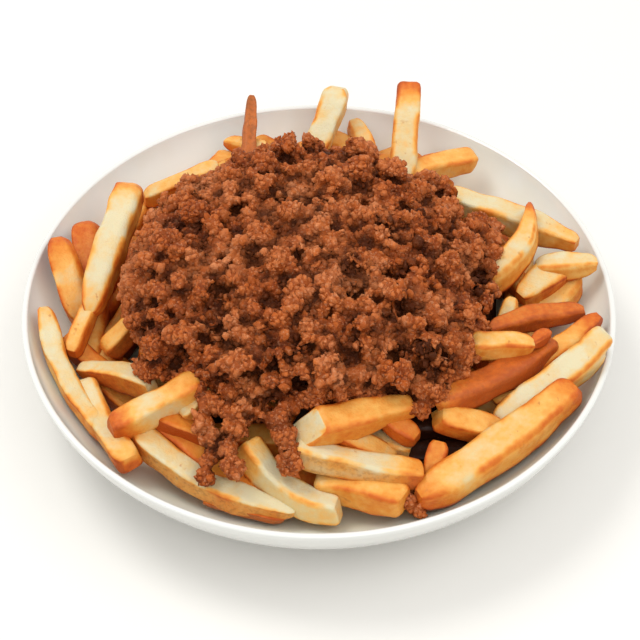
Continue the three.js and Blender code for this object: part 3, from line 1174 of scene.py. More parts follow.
    def lines(self, name: str, fries: Sequence[Fry]) -> bpy.types.Mesh:
        """Makes the middle lines of some fries, with what the sweep needs at each point.

        Args:
            name: The mesh's name.
            fries: The fries.

        Returns:
            A mesh of edges that carries the point values.
        """
        points: list[np.ndarray] = []
        edges: list[tuple[int, int]] = []
        keys = ("width", "tone", "side", "skin", "slant", "round", "broad", "skew")
        values: dict[str, list[float]] = {key: [] for key in keys}
        for index, fry in enumerate(fries):
            random = np.random.default_rng(SEED + self.seed_step * index + len(fries))
            line, places = self.line_of(fry)
            to_end = places[-1] - places
            edges += [(len(points) + i, len(points) + i + 1) for i in range(len(line) - 1)]
            points += list(line)
            taper = self.tapered(places, fry.tip) * self.tapered(to_end, fry.tail)
            rounding = self.rounded(np.minimum(places, to_end), fry.soft)
            bulges = sum(
                random.uniform(-1, 1)
                * np.sin(2 * math.pi * places / length + random.uniform(0, self.bulge_shift))
                for length in self.bulge_lengths
            )
            widths = fry.width * MM * taper * rounding * (1 + self.bulge * bulges)
            values["width"] += list(widths)
            tones = fry.tone + fry.start_tone * self.fading(places, self.tone_reach)
            tones = tones + fry.end_tone * self.fading(to_end, self.tone_reach)
            tones[0] -= fry.pale_cut
            values["tone"] += list(tones)
            first, last = (cut + random.uniform(-self.slant, self.slant) for cut in fry.slants)
            slants = first * self.fading(places, self.slant_reach)
            values["slant"] += list(slants + last * self.fading(to_end, self.slant_reach))
            for key, level in (("side", fry.side), ("skin", fry.skin)):
                values[key] += [level] * len(line)
            for key, level in (("round", fry.soft), ("broad", fry.flat), ("skew", 0.0)):
                values[key] += [level + random.uniform(-self.variety, self.variety)] * len(line)
        mesh = bpy.data.meshes.new(name)
        mesh.from_pydata([tuple(point * MM) for point in points], edges, [])
        for key, numbers in values.items():
            mesh.attributes.new(key, "FLOAT", "POINT").data.foreach_set("value", numbers)
        return mesh

    @staticmethod
    def fading(distance: np.ndarray, reach: float) -> np.ndarray:
        """Gives shares that fall from 1 at a distance of 0 to little past a reach."""
        return np.exp(-((distance / reach) ** 2))

    def tapered(self, distance: np.ndarray, share: float) -> np.ndarray:
        """Narrows a fry towards an end.

        Args:
            distance: Distances from the end.
            share: The share of the width that is left at the end.

        Returns:
            The share of the width at each distance.
        """
        length = self.taper_reach[0] + self.taper_reach[1] * (1 - share)
        left = np.clip(1 - distance / length, 0, 1)
        return 1 - (1 - share) * left**self.taper_curve

    def rounded(self, distance: np.ndarray, soft: float) -> np.ndarray:
        """Rounds a fry's ends.

        Args:
            distance: Distances from the nearer end.
            soft: How round its edges are, from 0 to 1.

        Returns:
            The share of the width at each distance.
        """
        left = np.clip(1 - distance / (self.round_reach[0] + self.round_reach[1] * soft), 0, 1)
        return 1 - (self.round_depth[0] + self.round_depth[1] * soft) * left**self.round_curve

    def sweep_tree(self) -> ShapeTree:
        """Builds the tree that gives each middle line a potato's body.

        Returns:
            The tree.
        """
        sizes = ("Corner", "Section Points", "Bend", "Bend Size", "Dent", "Dent Size")
        tree = ShapeTree("fry_sweep", sizes)
        curve = tree.add("GeometryNodeMeshToCurve", {"Mesh": tree.input("Geometry")})
        curve = tree.add("GeometryNodeSetCurveNormal", {"Curve": curve}, mode="Z_UP")
        curve = tree.store(curve, "along", tree.add("GeometryNodeInputTangent"), Kind.VECTOR)
        curve = tree.store(curve, "right", tree.normal(), Kind.VECTOR)
        square = tree.add("GeometryNodeCurvePrimitiveQuadrilateral", {"Width": 1.0, "Height": 1.0})
        corners = {"Curve": square, "Count": self.corner_points, "Radius": tree.input("Corner")}
        cornered = tree.add("GeometryNodeFilletCurve", corners, mode="POLY")
        even = {"Curve": cornered, "Count": tree.input("Section Points")}
        section = tree.add("GeometryNodeResampleCurve", even)
        drawn = tree.split(tree.place())
        place = {"X": drawn["Y"], "Y": tree.times(drawn["X"], -1.0)}
        place = tree.add("ShaderNodeCombineXYZ", place)
        section = tree.store(section, "section", place, Kind.VECTOR)
        sweep = {"Curve": curve, "Profile Curve": section, "Scale": tree.read("width")}
        body = tree.add("GeometryNodeCurveToMesh", {**sweep, "Fill Caps": True})
        body = tree.moved(body, self.own_form(tree))
        for amount, size in (("Bend", "Bend Size"), ("Dent", "Dent Size")):
            pattern = tree.out(tree.pattern(tree.input(size)), "Color")
            centred = tree.vector("SUBTRACT", pattern, (PATTERN_MIDDLE,) * 3)
            body = tree.moved(body, tree.scaled(centred, tree.input(amount)))
        tree.close(tree.store(body, "facing_up", tree.split(tree.normal())["Z"]))
        return tree

    def own_form(self, tree: ShapeTree) -> Socket:
        """Adds the nodes that give each fry a section and a cut of its own.

        Args:
            tree: The tree.

        Returns:
            How far each point moves from its place on the even sweep.
        """
        along, right = tree.read("along", Kind.VECTOR), tree.read("right", Kind.VECTOR)
        section, broad = tree.read("section", Kind.VECTOR), tree.read("broad")
        across, above, _ = tree.split(section)
        circle = tree.scaled(tree.vector("NORMALIZE", section), self.round_radius)
        rounder = tree.scaled(tree.vector("SUBTRACT", circle, section), tree.read("round"))
        rounder = tree.split(rounder)
        sideways = tree.plus(rounder["X"], tree.times(across, broad))
        sideways = tree.plus(sideways, tree.times(above, tree.read("skew")))
        upwards = tree.minus(rounder["Y"], tree.times(above, broad))
        lean = tree.times(tree.read("slant"), across)
        up = tree.vector("CROSS_PRODUCT", right, along)
        total = tree.vector("ADD", tree.scaled(right, sideways), tree.scaled(up, upwards))
        total = tree.vector("ADD", total, tree.scaled(along, lean))
        return tree.scaled(total, tree.read("width"))

    def build_core(self, material: bpy.types.Material) -> None:
        """Builds the bare middle of the heap, which only shows deep between fries, near black as
        painted shade.

        Args:
            material: The fries' finish.
        """
        mesh = bmesh.new()
        angles = np.linspace(0, 2 * math.pi, self.core_sides, endpoint=False)
        rings = []
        for radius, height in self.core:
            away = radius * (1 + self.core_wobble * np.sin(self.core_waves * angles + height))
            x = self.centre[0] + away * np.cos(angles)
            y = self.centre[1] + away * np.sin(angles)
            rings.append([mesh.verts.new((a * MM, b * MM, height * MM)) for a, b in zip(x, y)])
        join_rings(mesh, rings)
        mesh.faces.new(rings[-1])
        mesh.faces.new(rings[0][::-1])
        bmesh.ops.recalc_face_normals(mesh, faces=mesh.faces)
        made = mesh_of(mesh, "fries_core")
        tone = made.attributes.new("tone", "FLOAT", "POINT")
        tone.data.foreach_set("value", [self.core_shade_tone] * len(made.vertices))
        made.materials.append(material)
        finish_piece(new_piece("fries_core", made), Node.FRIES, Slot.POTATO)

    def build(self, material: bpy.types.Material) -> None:
        """Builds the whole heap.

        Args:
            material: The fries' finish.
        """
        self.build_core(material)
        tree = self.sweep_tree()
        sizes = {
            "Corner": self.corner,
            "Section Points": self.section_points,
            "Bend": self.bend * MM,
            "Bend Size": self.bend_size * MM,
            "Dent": self.dent * MM,
            "Dent Size": self.dent_size * MM,
        }
        draws = SeededDraws(SEED)
        laid = self.filling(self.source_layers, draws) + self.filling(self.bed_layers, draws)
        groups = {
            "fries_filling": [fry for i, fry in enumerate(laid) if i not in self.left_out],
            "fries_left": LEFT_FRIES,
            "fries_front": FRONT_FRIES,
            "fries_right": RIGHT_FRIES,
            "fries_back": BACK_FRIES,
        }
        for name, fries in groups.items():
            piece = new_piece(name, self.lines(name, fries))
            tree.apply(piece, material, sizes)
            finish_piece(piece, Node.FRIES, Slot.POTATO)


@dataclass(frozen=True)
class Lobe:
    """A bulge or a notch of the mound's outline at a bearing, in degrees and millimetres."""

    bearing: float
    spread: float
    size: float


@dataclass(frozen=True)
class Tongue:
    """A run of lumps that hangs over the fries in front of the mound."""

    start: Point
    end: Point
    count: int
    radius: float


@dataclass(frozen=True)
class Skin(TreeSizes):
    """How rugged a mass of meat is.

    The shelter is how much deeper than it is each point counts as lying, which darkens it with
    painted shade.
    """

    lump_size: float = 8
    lump_height: float = 4
    hollow_size: float = 15
    hollow_depth: float = 3.5
    grain_size: float = 2.6
    grain_height: float = 1
    shelter: float = 0


@dataclass(frozen=True)
class Crumbs(TreeSizes):
    """A cover of crumbs: how far apart they lie, their sizes and their form."""

    spacing: float
    smallest: float
    largest: float
    distortion: float
    segments: int
    rings: int
    seed: int


class Draw(Enum):
    """The seed of each thing that is drawn for a crumb or for its corners."""

    SIZE = 7
    SINK = 29
    SHADE = 19
    FORM = 11
    TURN = 3
    JITTER = 23


@dataclass
class Chili:
    """The mound of meat: a rugged body of lumps, crumbs all over it, and tongues over the fries."""

    centre: Pair = (-4, 5)
    reach: float = 73.2  # the crumbs make up what the solid has more
    underside: tuple[Pair, ...] = ((0, 50.5), (3, 47.4), (9, 46.5))  # how far in, and how high
    edge: float = 53
    peak: float = 80
    fullness: float = 2.4
    edge_limit: float = 0.98
    slope_step: float = 0.01
    lobes: tuple[Lobe, ...] = (
        Lobe(95, 7, -3),
        Lobe(12, 7, 4),
        Lobe(27, 9, -8),
        Lobe(42, 6, 8),
        Lobe(54, 7, -7),
        Lobe(198, 32, 9),
        Lobe(316, 16, 13),
    )
    rings: int = 40
    sides: int = 160
    lump_count: int = 66
    lump_radius: float = 6.5
    lump_sizes: Pair = (0.65, 1.25)
    lump_sink: Pair = (-0.7, 0.3)
    lump_limit: float = 0.97
    lump_draws: int = 14  # numbers that the source also draws for each lump
    lump_detail: int = 2
    tongues: tuple[Tongue, ...] = (
        Tongue((-46, -60, 52), (-43, -93, 38), 6, 6.5),
        Tongue((-36, -62, 52), (-35, -92, 42), 5, 6.5),
        Tongue((-15, -62, 52), (-13, -91, 43), 6, 7.5),
    )
    tongue_share: float = 0.72  # of the solids' radius, which leaves room for the crumbs
    tongue_sizes: Pair = (0.8, 1.1)
    tongue_stray: float = 0.3
    fallen: tuple[Point, ...] = (
        (34, -88, 21), (41, -90, 25), (28, -88, 17), (39, -99, 24), (35, -97, 27),
    )
    fallen_radius: float = 4
    clods: tuple[Point, ...] = (  # each with its place across and away, and its radius
        (-32, -9, 5.2), (-46, -31, 3.4), (-73, -33, 4.3), (-56, -43, 5.2), (-67, -45, 5.4),
        (-58, -6, 4.3), (21, 10, 3.9), (25, 0, 3.9), (1, 7, 3.9), (53, 46, 4.3), (53, 38, 3.9),
        (53, -10, 4.7), (31, -33, 4.7), (2, -33, 3), (-18, -56, 2.6), (-28, -58, 3.9),
        (-43, -58, 3), (42, -50, 2.6), (-8, -8, 3.9), (-11, -38, 3.4), (13, -13, 3.4),
        (-35, -48, 3.4), (18, -45, 3.9), (4, -52, 3.4), (10, -66, 3.9), (-56, -23, 3.4),
        (-70, -8, 3.9), (57, 4, 3.9), (40, -44, 3.4),
    )
    pits: tuple[Point, ...] = (  # given as the clods are
        (-32, 45, 3), (-32, 18, 3.9), (-16, 23, 1.8), (-40, -11, 2.1), (-39, -26, 3.4),
        (-31, -26, 3), (-58, 13, 1.8), (-69, 14, 1.8), (-23, 37, 2.1), (-68, -27, 2.6),
        (-61, -33, 2.1), (-51, -34, 1.8), (-46, -40, 1.8), (-39, -34, 2.6), (-69, -34, 1.8),
        (-74, -36, 1.8), (-45, -48, 2.2), (-47, -51, 1.8), (-18, -60, 3), (-26, -62, 3.4),
        (-8, -65, 3), (-21, -45, 1.5), (-50, -57, 1.5), (38, 23, 5.2), (50, 9, 3), (31, -18, 4.7),
        (40, -15, 2.2), (47, -23, 2.2), (6, 23, 3), (20, 22, 3.4), (15, -30, 2.6), (23, -33, 2.6),
        (8, 3, 2.6), (26, 7, 1.8), (7, 50, 2.6), (35, 2, 2.6), (64, -9, 2.6), (15, 6, 1.8),
        (36, -37, 2.6), (50, -33, 2.6), (57, -31, 2.2), (35, -53, 3.4), (48, -53, 3.4),
        (49, -59, 3.9), (6, -61, 3), (30, -55, 2.6), (21, -65, 2.2), (36, -63, 2.6),
        (14, -50, 1.8), (4, -40, 2.2), (-7, -55, 1.8), (-3, -54, 1.8), (42, -57, 3.6),
    )
    pit_depth: float = 1.9  # of its radius, as is its width
    pit_width: float = 1.3
    pit_reach: float = 8
    clod_rise: float = 1.6
    clod_share: float = 0.35  # of its radius that it also stands out
    stray_clods: int = 150
    clod_sizes: Pair = (1.8, 4.2)
    clod_sink: Pair = (-0.9, 0.2)
    apron: tuple[Point, ...] = (  # lumps along the mound's edge that hang over the fries
        (-41, -66, 49), (-32, -68, 48), (-30, -73, 45), (-23, -70, 48), (-18, -73, 46),
        (26, -62, 49), (34, -63, 48), (41, -64, 47), (49, -60, 48), (9, -64, 53), (17, -62, 54),
        (25, -60, 54), (33, -59, 54), (41, -60, 53), (47, -59, 52), (-73, -42, 45), (-69, -45, 46),
        (-63, -47, 48), (-57, -49, 49), (-64, -39, 50), (-56, -44, 51), (70, 33, 56), (76, 30, 53),
        (74, 22, 55), (74, 14, 54), (68, 26, 58), (72, 6, 53), (73, -4, 53), (70, -14, 53),
        (66, -24, 52), (60, -34, 52), (62, -40, 50), (57, -42, 51),
    )
    apron_radius: float = 5.2
    voxel: float = 0.92
    mound_skin: Skin = Skin()
    # The tongues' shelter darkens all their skin with painted shade.
    tongue_skin: Skin = Skin(lump_size=6, lump_height=2.5, hollow_depth=1, shelter=0.9)
    warp_size: float = 0.6  # of the lumps' size, as is how far the warp reaches
    warp_reach: float = 0.5
    lump_level: float = 0.45
    grain_level: float = 0.4
    hollow_mask: Pair = (0.52, 0.66)
    # Painted shade: how deep a point lies under its skin smoothed at two widths darkens it, and the
    # bare skin between crumbs keeps at least the least share of it.
    blur_steps: tuple[int, int] = (22, 110)
    wide_share: float = 0.5
    shade_depths: Pair = (-1.3, 2.1)
    least_painted_shade: float = 0.24
    covers: tuple[tuple[str, Crumbs], ...] = (
        ("chili_crumbs", Crumbs(5.6, 1.3, 2.4, 0.75, segments=8, rings=5, seed=5)),
        ("chili_grains", Crumbs(2.5, 1, 2.1, 0.46, segments=5, rings=4, seed=9)),
        ("chili_bits", Crumbs(2.1, 0.7, 1.4, 0.36, segments=5, rings=4, seed=14)),
    )
    crumb_slope: float = -0.45  # crumbs lie where the skin looks up more than this
    crumb_density: float = 2.5e6  # to a square metre, at most
    crumb_sink: Pair = (-0.95, -0.1)  # of its radius
    crumb_form: tuple[Point, Point] = ((0.6, 0.6, 0.5), (1.7, 1.25, 1.0))
    full_turn: float = 6.28
    # A crumb's shade is a drawn tone with painted light: crumbs clear of pits are drawn lighter.
    drawn_shade: float = 0.4
    clear_painted_light: float = 0.6
    # Painted shade: a crumb's foot, and a crumb that lies in a pit, are drawn darker.
    foot_heights: Pair = (-0.3, 0.75)
    foot_dark: float = 0.12
    pit_painted_shade: float = 0.9

    def reach_at(self, angle: np.ndarray | float) -> np.ndarray | float:
        """Finds how far the mound reaches.

        Args:
            angle: The bearing from its middle, in radians.

        Returns:
            The distance from its middle to its edge.
        """
        reach = self.reach
        for lobe in self.lobes:
            offset = angle - math.radians(lobe.bearing)
            away = np.arctan2(np.sin(offset), np.cos(offset)) / math.radians(lobe.spread)
            reach = reach + lobe.size * np.exp(-(away**2))
        return reach

    def spot(self, angle: float, away: float, up: float) -> np.ndarray:
        """Gives the point at a bearing and a distance from the mound's middle, and a height."""
        across, along = away * math.cos(angle), away * math.sin(angle)
        return np.array((self.centre[0] + across, self.centre[1] + along, up))

    def dome_point(self, angle: float, share: float) -> np.ndarray:
        """Finds a point on the mound.

        Args:
            angle: The bearing from its middle, in radians.
            share: The way to its edge, from 0 to 1.

        Returns:
            The point.
        """
        rise = (self.peak - self.edge) * math.sqrt(max(0.0, 1 - share**self.fullness))
        return self.spot(angle, float(self.reach_at(angle)) * share, self.edge + rise)

    def add_dome(self, mesh: bmesh.types.BMesh) -> None:
        """Adds the mound's smooth body, closed underneath.

        Args:
            mesh: The mesh that it goes into.
        """
        shares = np.sin(np.linspace(0, math.pi / 2, self.rings))[1:]
        angles = np.linspace(0, 2 * math.pi, self.sides, endpoint=False)
        rows = [[self.dome_point(a, share) for a in angles] for share in shares]
        for inward, height in self.underside:
            row = [self.spot(a, float(self.reach_at(a)) - inward, height) for a in angles]
            rows.append(row)
        rings = [[mesh.verts.new(Vector(place) * MM) for place in row] for row in rows]
        for inner, outer in zip(rings, rings[1:]):
            for side in range(self.sides):
                after = (side + 1) % self.sides
                mesh.faces.new((inner[side], outer[side], outer[after], inner[after]))
        close_ring(mesh, rings[0], Vector(self.dome_point(0, 0)) * MM)
        mesh.faces.new(rings[-1][::-1])

    def lumps(self, draws: SeededDraws) -> list[tuple[np.ndarray, float]]:
        """The mound's lumps as the part's source draws them.

        Args:
            draws: The source's row of numbers.

        Returns:
            Each lump's middle and radius.
        """
        golden = math.pi * (3 - math.sqrt(5))
        lumps = []
        for index in range(self.lump_count):
            share = math.sqrt((index + 0.5) / self.lump_count) * self.lump_limit
            place = self.dome_point(index * golden, share)
            radius = self.lump_radius * draws.between(*self.lump_sizes)
            place[2] += radius * draws.between(*self.lump_sink)
            draws.skip(self.lump_draws)
            lumps.append((place, radius))
        return lumps

    def on_dome(self, across: float, away: float) -> tuple[np.ndarray, np.ndarray]:
        """Finds the point of the mound's smooth body over a place.

        Args:
            across: The place's X.
            away: The place's Y.

        Returns:
            The point, and the way out of the mound there.
        """
        dx, dy = across - self.centre[0], away - self.centre[1]
        angle = math.atan2(dy, dx)
        share = min(self.edge_limit, math.hypot(dx, dy) / float(self.reach_at(angle)))
        downhill = self.dome_point(angle, share + self.slope_step)
        downhill -= self.dome_point(angle, share - self.slope_step)
        outward = np.cross(downhill, (-math.sin(angle), math.cos(angle), 0))
        return self.dome_point(angle, share), outward / np.linalg.norm(outward)

    def clod_lumps(self) -> list[tuple[np.ndarray, float]]:
        """Gathers the clods that stand out from the mound and the lumps along its edge.

        Returns:
            Each one's middle and radius.
        """
        lumps = []
        for x, y, radius in self.clods:
            place, outward = self.on_dome(x, y)
            lumps.append((place + outward * (self.clod_rise + self.clod_share * radius), radius))
        random = np.random.default_rng(SEED)
        for _ in range(self.stray_clods):
            radius = random.uniform(*self.clod_sizes)
            angle = random.uniform(0, 2 * math.pi)
            place = self.dome_point(angle, self.lump_limit * math.sqrt(random.uniform(0, 1)))
            place[2] += radius * random.uniform(*self.clod_sink)
            lumps.append((place, radius))
        return lumps + [(np.array(place, float), self.apron_radius) for place in self.apron]

    def dig_pits(self, mound: bpy.types.Object) -> None:
        """Presses the pits into the mound, each along the surface's own direction.

        Args:
            mound: The mound.
        """
        count = len(mound.data.vertices)
        places, normals = np.empty(count * 3), np.empty(count * 3)
        mound.data.vertices.foreach_get("co", places)
        mound.data.vertex_normals.foreach_get("vector", normals)
        places, normals = places.reshape(-1, 3), normals.reshape(-1, 3)
        depth = np.zeros(count)
        for x, y, radius in self.pits:
            place, outward = self.on_dome(x, y)
            from_place = places - place * MM
            up = from_place @ outward
            away = np.linalg.norm(from_place - up[:, None] * outward, axis=1)
            bowl = np.clip(1 - (away / (self.pit_width * radius * MM)) ** 2, 0, 1)
            depth += (up > -self.pit_reach * MM) * self.pit_depth * radius * MM * bowl
        places -= normals * depth[:, None]
        mound.data.vertices.foreach_set("co", places.ravel())
        mound.data.update()

    def tongue_lumps(self, draws: SeededDraws) -> list[tuple[np.ndarray, float]]:
        """Lays the tongues' lumps as the part's source draws them.

        Args:
            draws: The source's row of numbers.

        Returns:
            Each lump's middle and radius.
        """
        lumps = []
        for tongue in self.tongues:
            start, end = np.array(tongue.start, float), np.array(tongue.end, float)
            for index in range(tongue.count):
                place = start + (end - start) * index / (tongue.count - 1)
                place[0] += tongue.radius * draws.between(-self.tongue_stray, self.tongue_stray)
                radius = tongue.radius * draws.between(*self.tongue_sizes)
                lumps.append((place, radius * self.tongue_share))
                draws.skip(self.lump_draws)
        return lumps

    def fused(
        self, name: str, lumps: Sequence[tuple[np.ndarray, float]], dome: bool = False
    ) -> bpy.types.Object:
        """Fuses lumps into one skin.

        Args:
            name: The piece's name.
            lumps: Each lump's middle and radius.
            dome: Whether the mound's body is among them.

        Returns:
            The piece.
        """
        mesh = bmesh.new()
        if dome:
            self.add_dome(mesh)
        for place, radius in lumps:
            ball = {"subdivisions": self.lump_detail, "radius": radius * MM}
            made = bmesh.ops.create_icosphere(mesh, **ball)["verts"]
            bmesh.ops.translate(mesh, verts=made, vec=Vector(place) * MM)
        piece = new_piece(name, mesh_of(mesh, name))
        remesh = piece.modifiers.new("fuse", "REMESH")
        remesh.mode, remesh.voxel_size = "VOXEL", self.voxel * MM
        keep_result(piece)
        return piece

    def surface_tree(self) -> ShapeTree:
        """Builds the tree that breaks a smooth skin into lumps, hollows and grain, and marks how
        deep each point lies, for painted shade.

        Returns:
            The tree.
        """
        tree = ShapeTree("crumbled_surface", Skin.names())
        place, lump_size = tree.place(), tree.input("Lump Size")
        warp = tree.out(tree.pattern(tree.times(lump_size, self.warp_size)), "Color")
        push = tree.scaled(warp, tree.times(lump_size, self.warp_reach))
        lump = tree.pattern(lump_size, Texture.CELLS)
        tree.feed(lump.inputs["Vector"], tree.vector("ADD", place, push))
        grain = tree.pattern(tree.input("Grain Size"), Texture.CELLS)
        hollow = tree.out(tree.pattern(tree.input("Hollow Size")), "Fac")
        raised = tree.minus(self.lump_level, tree.out(lump, "Distance"))
        pit = tree.ramp(hollow, *self.hollow_mask)
        fine = tree.minus(self.grain_level, tree.out(grain, "Distance"))
        lift = tree.times(raised, tree.input("Lump Height"))
        lift = tree.minus(lift, tree.times(pit, tree.input("Hollow Depth")))
        lift = tree.plus(lift, tree.times(fine, tree.input("Grain Height")))
        shaped = tree.moved(tree.input("Geometry"), tree.scaled(tree.normal(), lift))
        # Painted shade: the deeper a point lies under the smoothed skin, the darker it is drawn.
        near, wide = (self.sunk_below(tree, place, steps) for steps in self.blur_steps)
        depth = tree.plus(near, tree.times(wide, self.wide_share))
        depth = tree.plus(depth, tree.input("Shelter"))
        dark = tree.ramp(depth, *(limit * MM for limit in self.shade_depths))
        pitted = tree.store(shaped, "pit", dark)
        tree.close(tree.store(pitted, "hollow", tree.math("MAXIMUM", dark, self.least_painted_shade)))
        return tree

    @staticmethod
    def sunk_below(tree: ShapeTree, place: bpy.types.Node, steps: int) -> Socket:
        """Measures how deep each point lies under the smoothed surface round it.

        Args:
            tree: The tree.
            place: The node that gives each point's position.
            steps: How far the surface is smoothed.

        Returns:
            The depth's socket, negative on what stands out.
        """
        inputs = {"Value": place, "Iterations": steps}
        smooth = tree.add("GeometryNodeBlurAttribute", inputs, data_type=Kind.VECTOR.value)
        return tree.vector("DOT_PRODUCT", tree.vector("SUBTRACT", smooth, place), tree.normal())

    def crumb_tree(self) -> ShapeTree:
        """Builds the tree that covers a skin with crumbs, each with a form and shade of its own,
        lighter clear of pits as painted light and darker at its foot and in pits as painted shade.

        Returns:
            The tree.
        """
        tree = ShapeTree("crumb_cover", Crumbs.names())
        up = tree.split(tree.normal())["Z"]
        where = {0: up, 1: self.crumb_slope}
        spread = {
            "Mesh": tree.input("Geometry"),
            "Selection": tree.add("FunctionNodeCompare", where, operation="GREATER_THAN"),
            "Distance Min": tree.input("Spacing"),
            "Density Max": self.crumb_density,
            "Seed": tree.input("Seed"),
        }
        method = {"distribute_method": "POISSON"}
        points = tree.add("GeometryNodeDistributePointsOnFaces", spread, **method)
        place, normal = tree.place(), tree.out(points, "Normal")
        size = tree.random(Draw.SIZE, tree.input("Smallest"), tree.input("Largest"))
        sink = tree.times(size, tree.random(Draw.SINK, *self.crumb_sink))
        marked = tree.moved(points, tree.scaled(normal, sink))
        marked = tree.store(marked, "outward", normal, Kind.VECTOR)
        marked = tree.store(marked, "middle", place, Kind.VECTOR)
        marked = tree.store(marked, "reach", size)
        # Painted light: a crumb clear of pits is drawn lighter.
        clear = tree.times(tree.minus(1.0, tree.read("pit")), self.clear_painted_light)
        shade = tree.plus(tree.random(Draw.SHADE, 0.0, self.drawn_shade), clear)
        ball = {name: tree.input(name) for name in ("Segments", "Rings")}
        form = tree.random(Draw.FORM, *self.crumb_form)
        crumbs = {
            "Points": tree.store(marked, "shade", shade),
            "Instance": tree.add("GeometryNodeMeshUVSphere", {**ball, "Radius": 1.0}),
            "Rotation": tree.random(Draw.TURN, (0.0, 0.0, 0.0), (self.full_turn,) * 3),
            "Scale": tree.scaled(form, tree.read("reach")),
        }
        crumbs = tree.add("GeometryNodeInstanceOnPoints", crumbs)
        real = tree.add("GeometryNodeRealizeInstances", {"Geometry": crumbs})
        from_middle = tree.vector("SUBTRACT", place, tree.read("middle", Kind.VECTOR))
        outward = tree.vector("DOT_PRODUCT", from_middle, tree.read("outward", Kind.VECTOR))
        height = tree.math("DIVIDE", outward, tree.read("reach"))
        # Painted shade at a crumb's foot and in pits.
        foot = tree.minus(1.0, tree.ramp(height, *self.foot_heights))
        pit_shade = tree.times(tree.read("pit"), self.pit_painted_shade)
        hollow = tree.plus(tree.times(foot, self.foot_dark), pit_shade, clamp=True)
        shape = tree.store(real, "hollow", hollow)
        for name in ("outward", "middle", "reach", "pit"):
            shape = tree.add("GeometryNodeRemoveAttribute", {"Geometry": shape, "Name": name})
        jitter = tree.random(Draw.JITTER, (-1.0, -1.0, -1.0), (1.0, 1.0, 1.0))
        tree.close(tree.moved(shape, tree.scaled(jitter, tree.input("Distortion"))))
        return tree

    def build(self, material: bpy.types.Material) -> None:
        """Builds the mound with its tongues and fallen bits.

        Args:
            material: The meat's finish.
        """
        surface, cover = self.surface_tree(), self.crumb_tree()
        draws = SeededDraws(SEED)
        mound = self.fused("chili_mound", self.lumps(draws) + self.clod_lumps(), dome=True)
        self.dig_pits(mound)
        tongues = self.fused("chili_tongues", self.tongue_lumps(draws))
        bits = [(np.array(place, float), self.fallen_radius) for place in self.fallen]
        fallen = self.fused("chili_fallen", bits)
        surface.apply(mound, material, self.mound_skin.values())
        for piece in (tongues, fallen):
            surface.apply(piece, material, self.tongue_skin.values())
        for name, crumbs in self.covers:
            piece = new_piece(name, joined_copy(name, (mound, tongues, fallen)))
            cover.apply(piece, material, crumbs.values())
            finish_piece(piece, Node.CHILI, Slot.MEAT)
        for piece in (mound, tongues, fallen):
            finish_piece(piece, Node.CHILI, Slot.MEAT)


def joined_copy(name: str, pieces: Sequence[bpy.types.Object]) -> bpy.types.Mesh:
    """Copies the meshes of some pieces into one.

    Args:
        name: The new mesh's name.
        pieces: The pieces.

    Returns:
        The joined mesh.
    """
    mesh = bmesh.new()
    for piece in pieces:
        mesh.from_mesh(piece.data)
    return mesh_of(mesh, name)


@dataclass(frozen=True)
class Light:
    """A soft lamp: where it stands, what it lights, its size and its strength."""

    name: str
    place: Point
    size: float
    power: float
    colour: tuple[float, float, float] = (1.0, 1.0, 1.0)


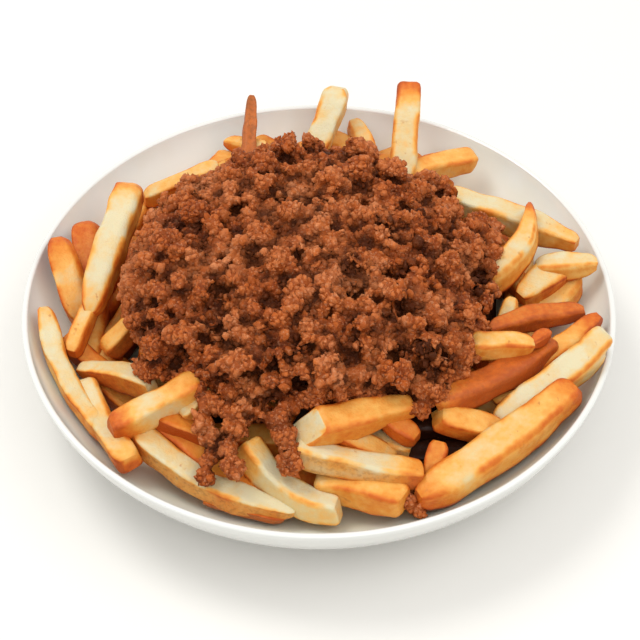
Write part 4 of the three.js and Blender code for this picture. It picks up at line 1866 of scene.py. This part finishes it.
@dataclass
class Studio:
    """The pale floor, the soft lights and the camera, at the photograph's angle."""

    floor_size: float = 40.0
    floor_roughness: float = 0.7
    floor: Colour = colour_of(226, 224, 220)
    sky: Colour = (1.0, 0.99, 0.97, 1.0)
    sky_strength: float = 0.92
    aim: Point = (0, 0, 0.044)
    lights: tuple[Light, ...] = (
        Light("window", (-0.55, 0.3, 1.25), 0.6, 6.8, (1.0, 0.99, 0.96)),
        Light("front", (0.15, -0.8, 1.15), 0.9, 3.3),
        Light("side", (0.65, -0.2, 1.15), 0.8, 2.8),
    )
    distance: float = 0.72
    elevation: float = 46.34
    focal_pixels: float = 1674.4
    middle: Pair = (318.75, 294.67)
    picture: int = 640
    sensor: float = 36.0
    clip: Pair = (0.05, 60)

    def build_floor(self) -> None:
        """Lays the plain floor, which isn't part of the object."""
        half = self.floor_size / 2
        mesh = bpy.data.meshes.new("floor")
        corners = [(-half, -half, 0), (half, -half, 0), (half, half, 0), (-half, half, 0)]
        mesh.from_pydata(corners, [], [(0, 1, 2, 3)])
        material = bpy.data.materials.new("floor")
        material.use_nodes = True
        shader = material.node_tree.nodes["Principled BSDF"]
        shader.inputs["Base Color"].default_value = self.floor
        shader.inputs["Roughness"].default_value = self.floor_roughness
        mesh.materials.append(material)
        new_piece("floor", mesh)

    def build_lights(self) -> None:
        """Hangs the lamps round the plate and sets the even light of the room."""
        for light in self.lights:
            data = bpy.data.lights.new(light.name, "AREA")
            data.shape, data.size = "DISK", light.size
            data.energy, data.color = light.power, light.colour
            lamp = bpy.data.objects.new(light.name, data)
            lamp.location = light.place
            towards = Vector(self.aim) - Vector(light.place)
            lamp.rotation_euler = towards.to_track_quat("-Z", "Y").to_euler()
            bpy.context.scene.collection.objects.link(lamp)
        world = bpy.data.worlds.new("room")
        world.use_nodes = True
        background = world.node_tree.nodes["Background"]
        background.inputs["Color"].default_value = self.sky
        background.inputs["Strength"].default_value = self.sky_strength
        bpy.context.scene.world = world
        bpy.context.scene.view_settings.view_transform = "Standard"

    def build_camera(self) -> None:
        """Places the camera; its shift puts the plate where the photograph has it in its frame."""
        data = bpy.data.cameras.new("camera")
        data.sensor_width = self.sensor
        data.lens = self.focal_pixels / self.picture * self.sensor
        data.shift_x = (self.picture / 2 - self.middle[0]) / self.picture
        data.shift_y = (self.middle[1] - self.picture / 2) / self.picture
        data.clip_start, data.clip_end = self.clip
        camera = bpy.data.objects.new("camera", data)
        turn = math.radians(self.elevation)
        back = Vector((0, -math.cos(turn), math.sin(turn)))
        camera.location = Vector(self.aim) + back * self.distance
        camera.rotation_euler = (-back).to_track_quat("-Z", "Y").to_euler()
        bpy.context.scene.collection.objects.link(camera)
        bpy.context.scene.camera = camera

    def build(self) -> None:
        """Builds the whole studio."""
        self.build_floor()
        self.build_lights()
        self.build_camera()


def main() -> None:
    """Builds the studio and the object, piece by piece."""
    logging.basicConfig(level=logging.INFO, format="%(name)s %(message)s")
    Studio().build()
    uneven = Roughened().build()
    plate = Plate()
    plate.build(Glaze().build(uneven))
    Fries(plate).build(FriedPotato().build(uneven))
    Chili().build(CrumbledMeat().build(uneven))


if __name__ == "__main__":
    main()
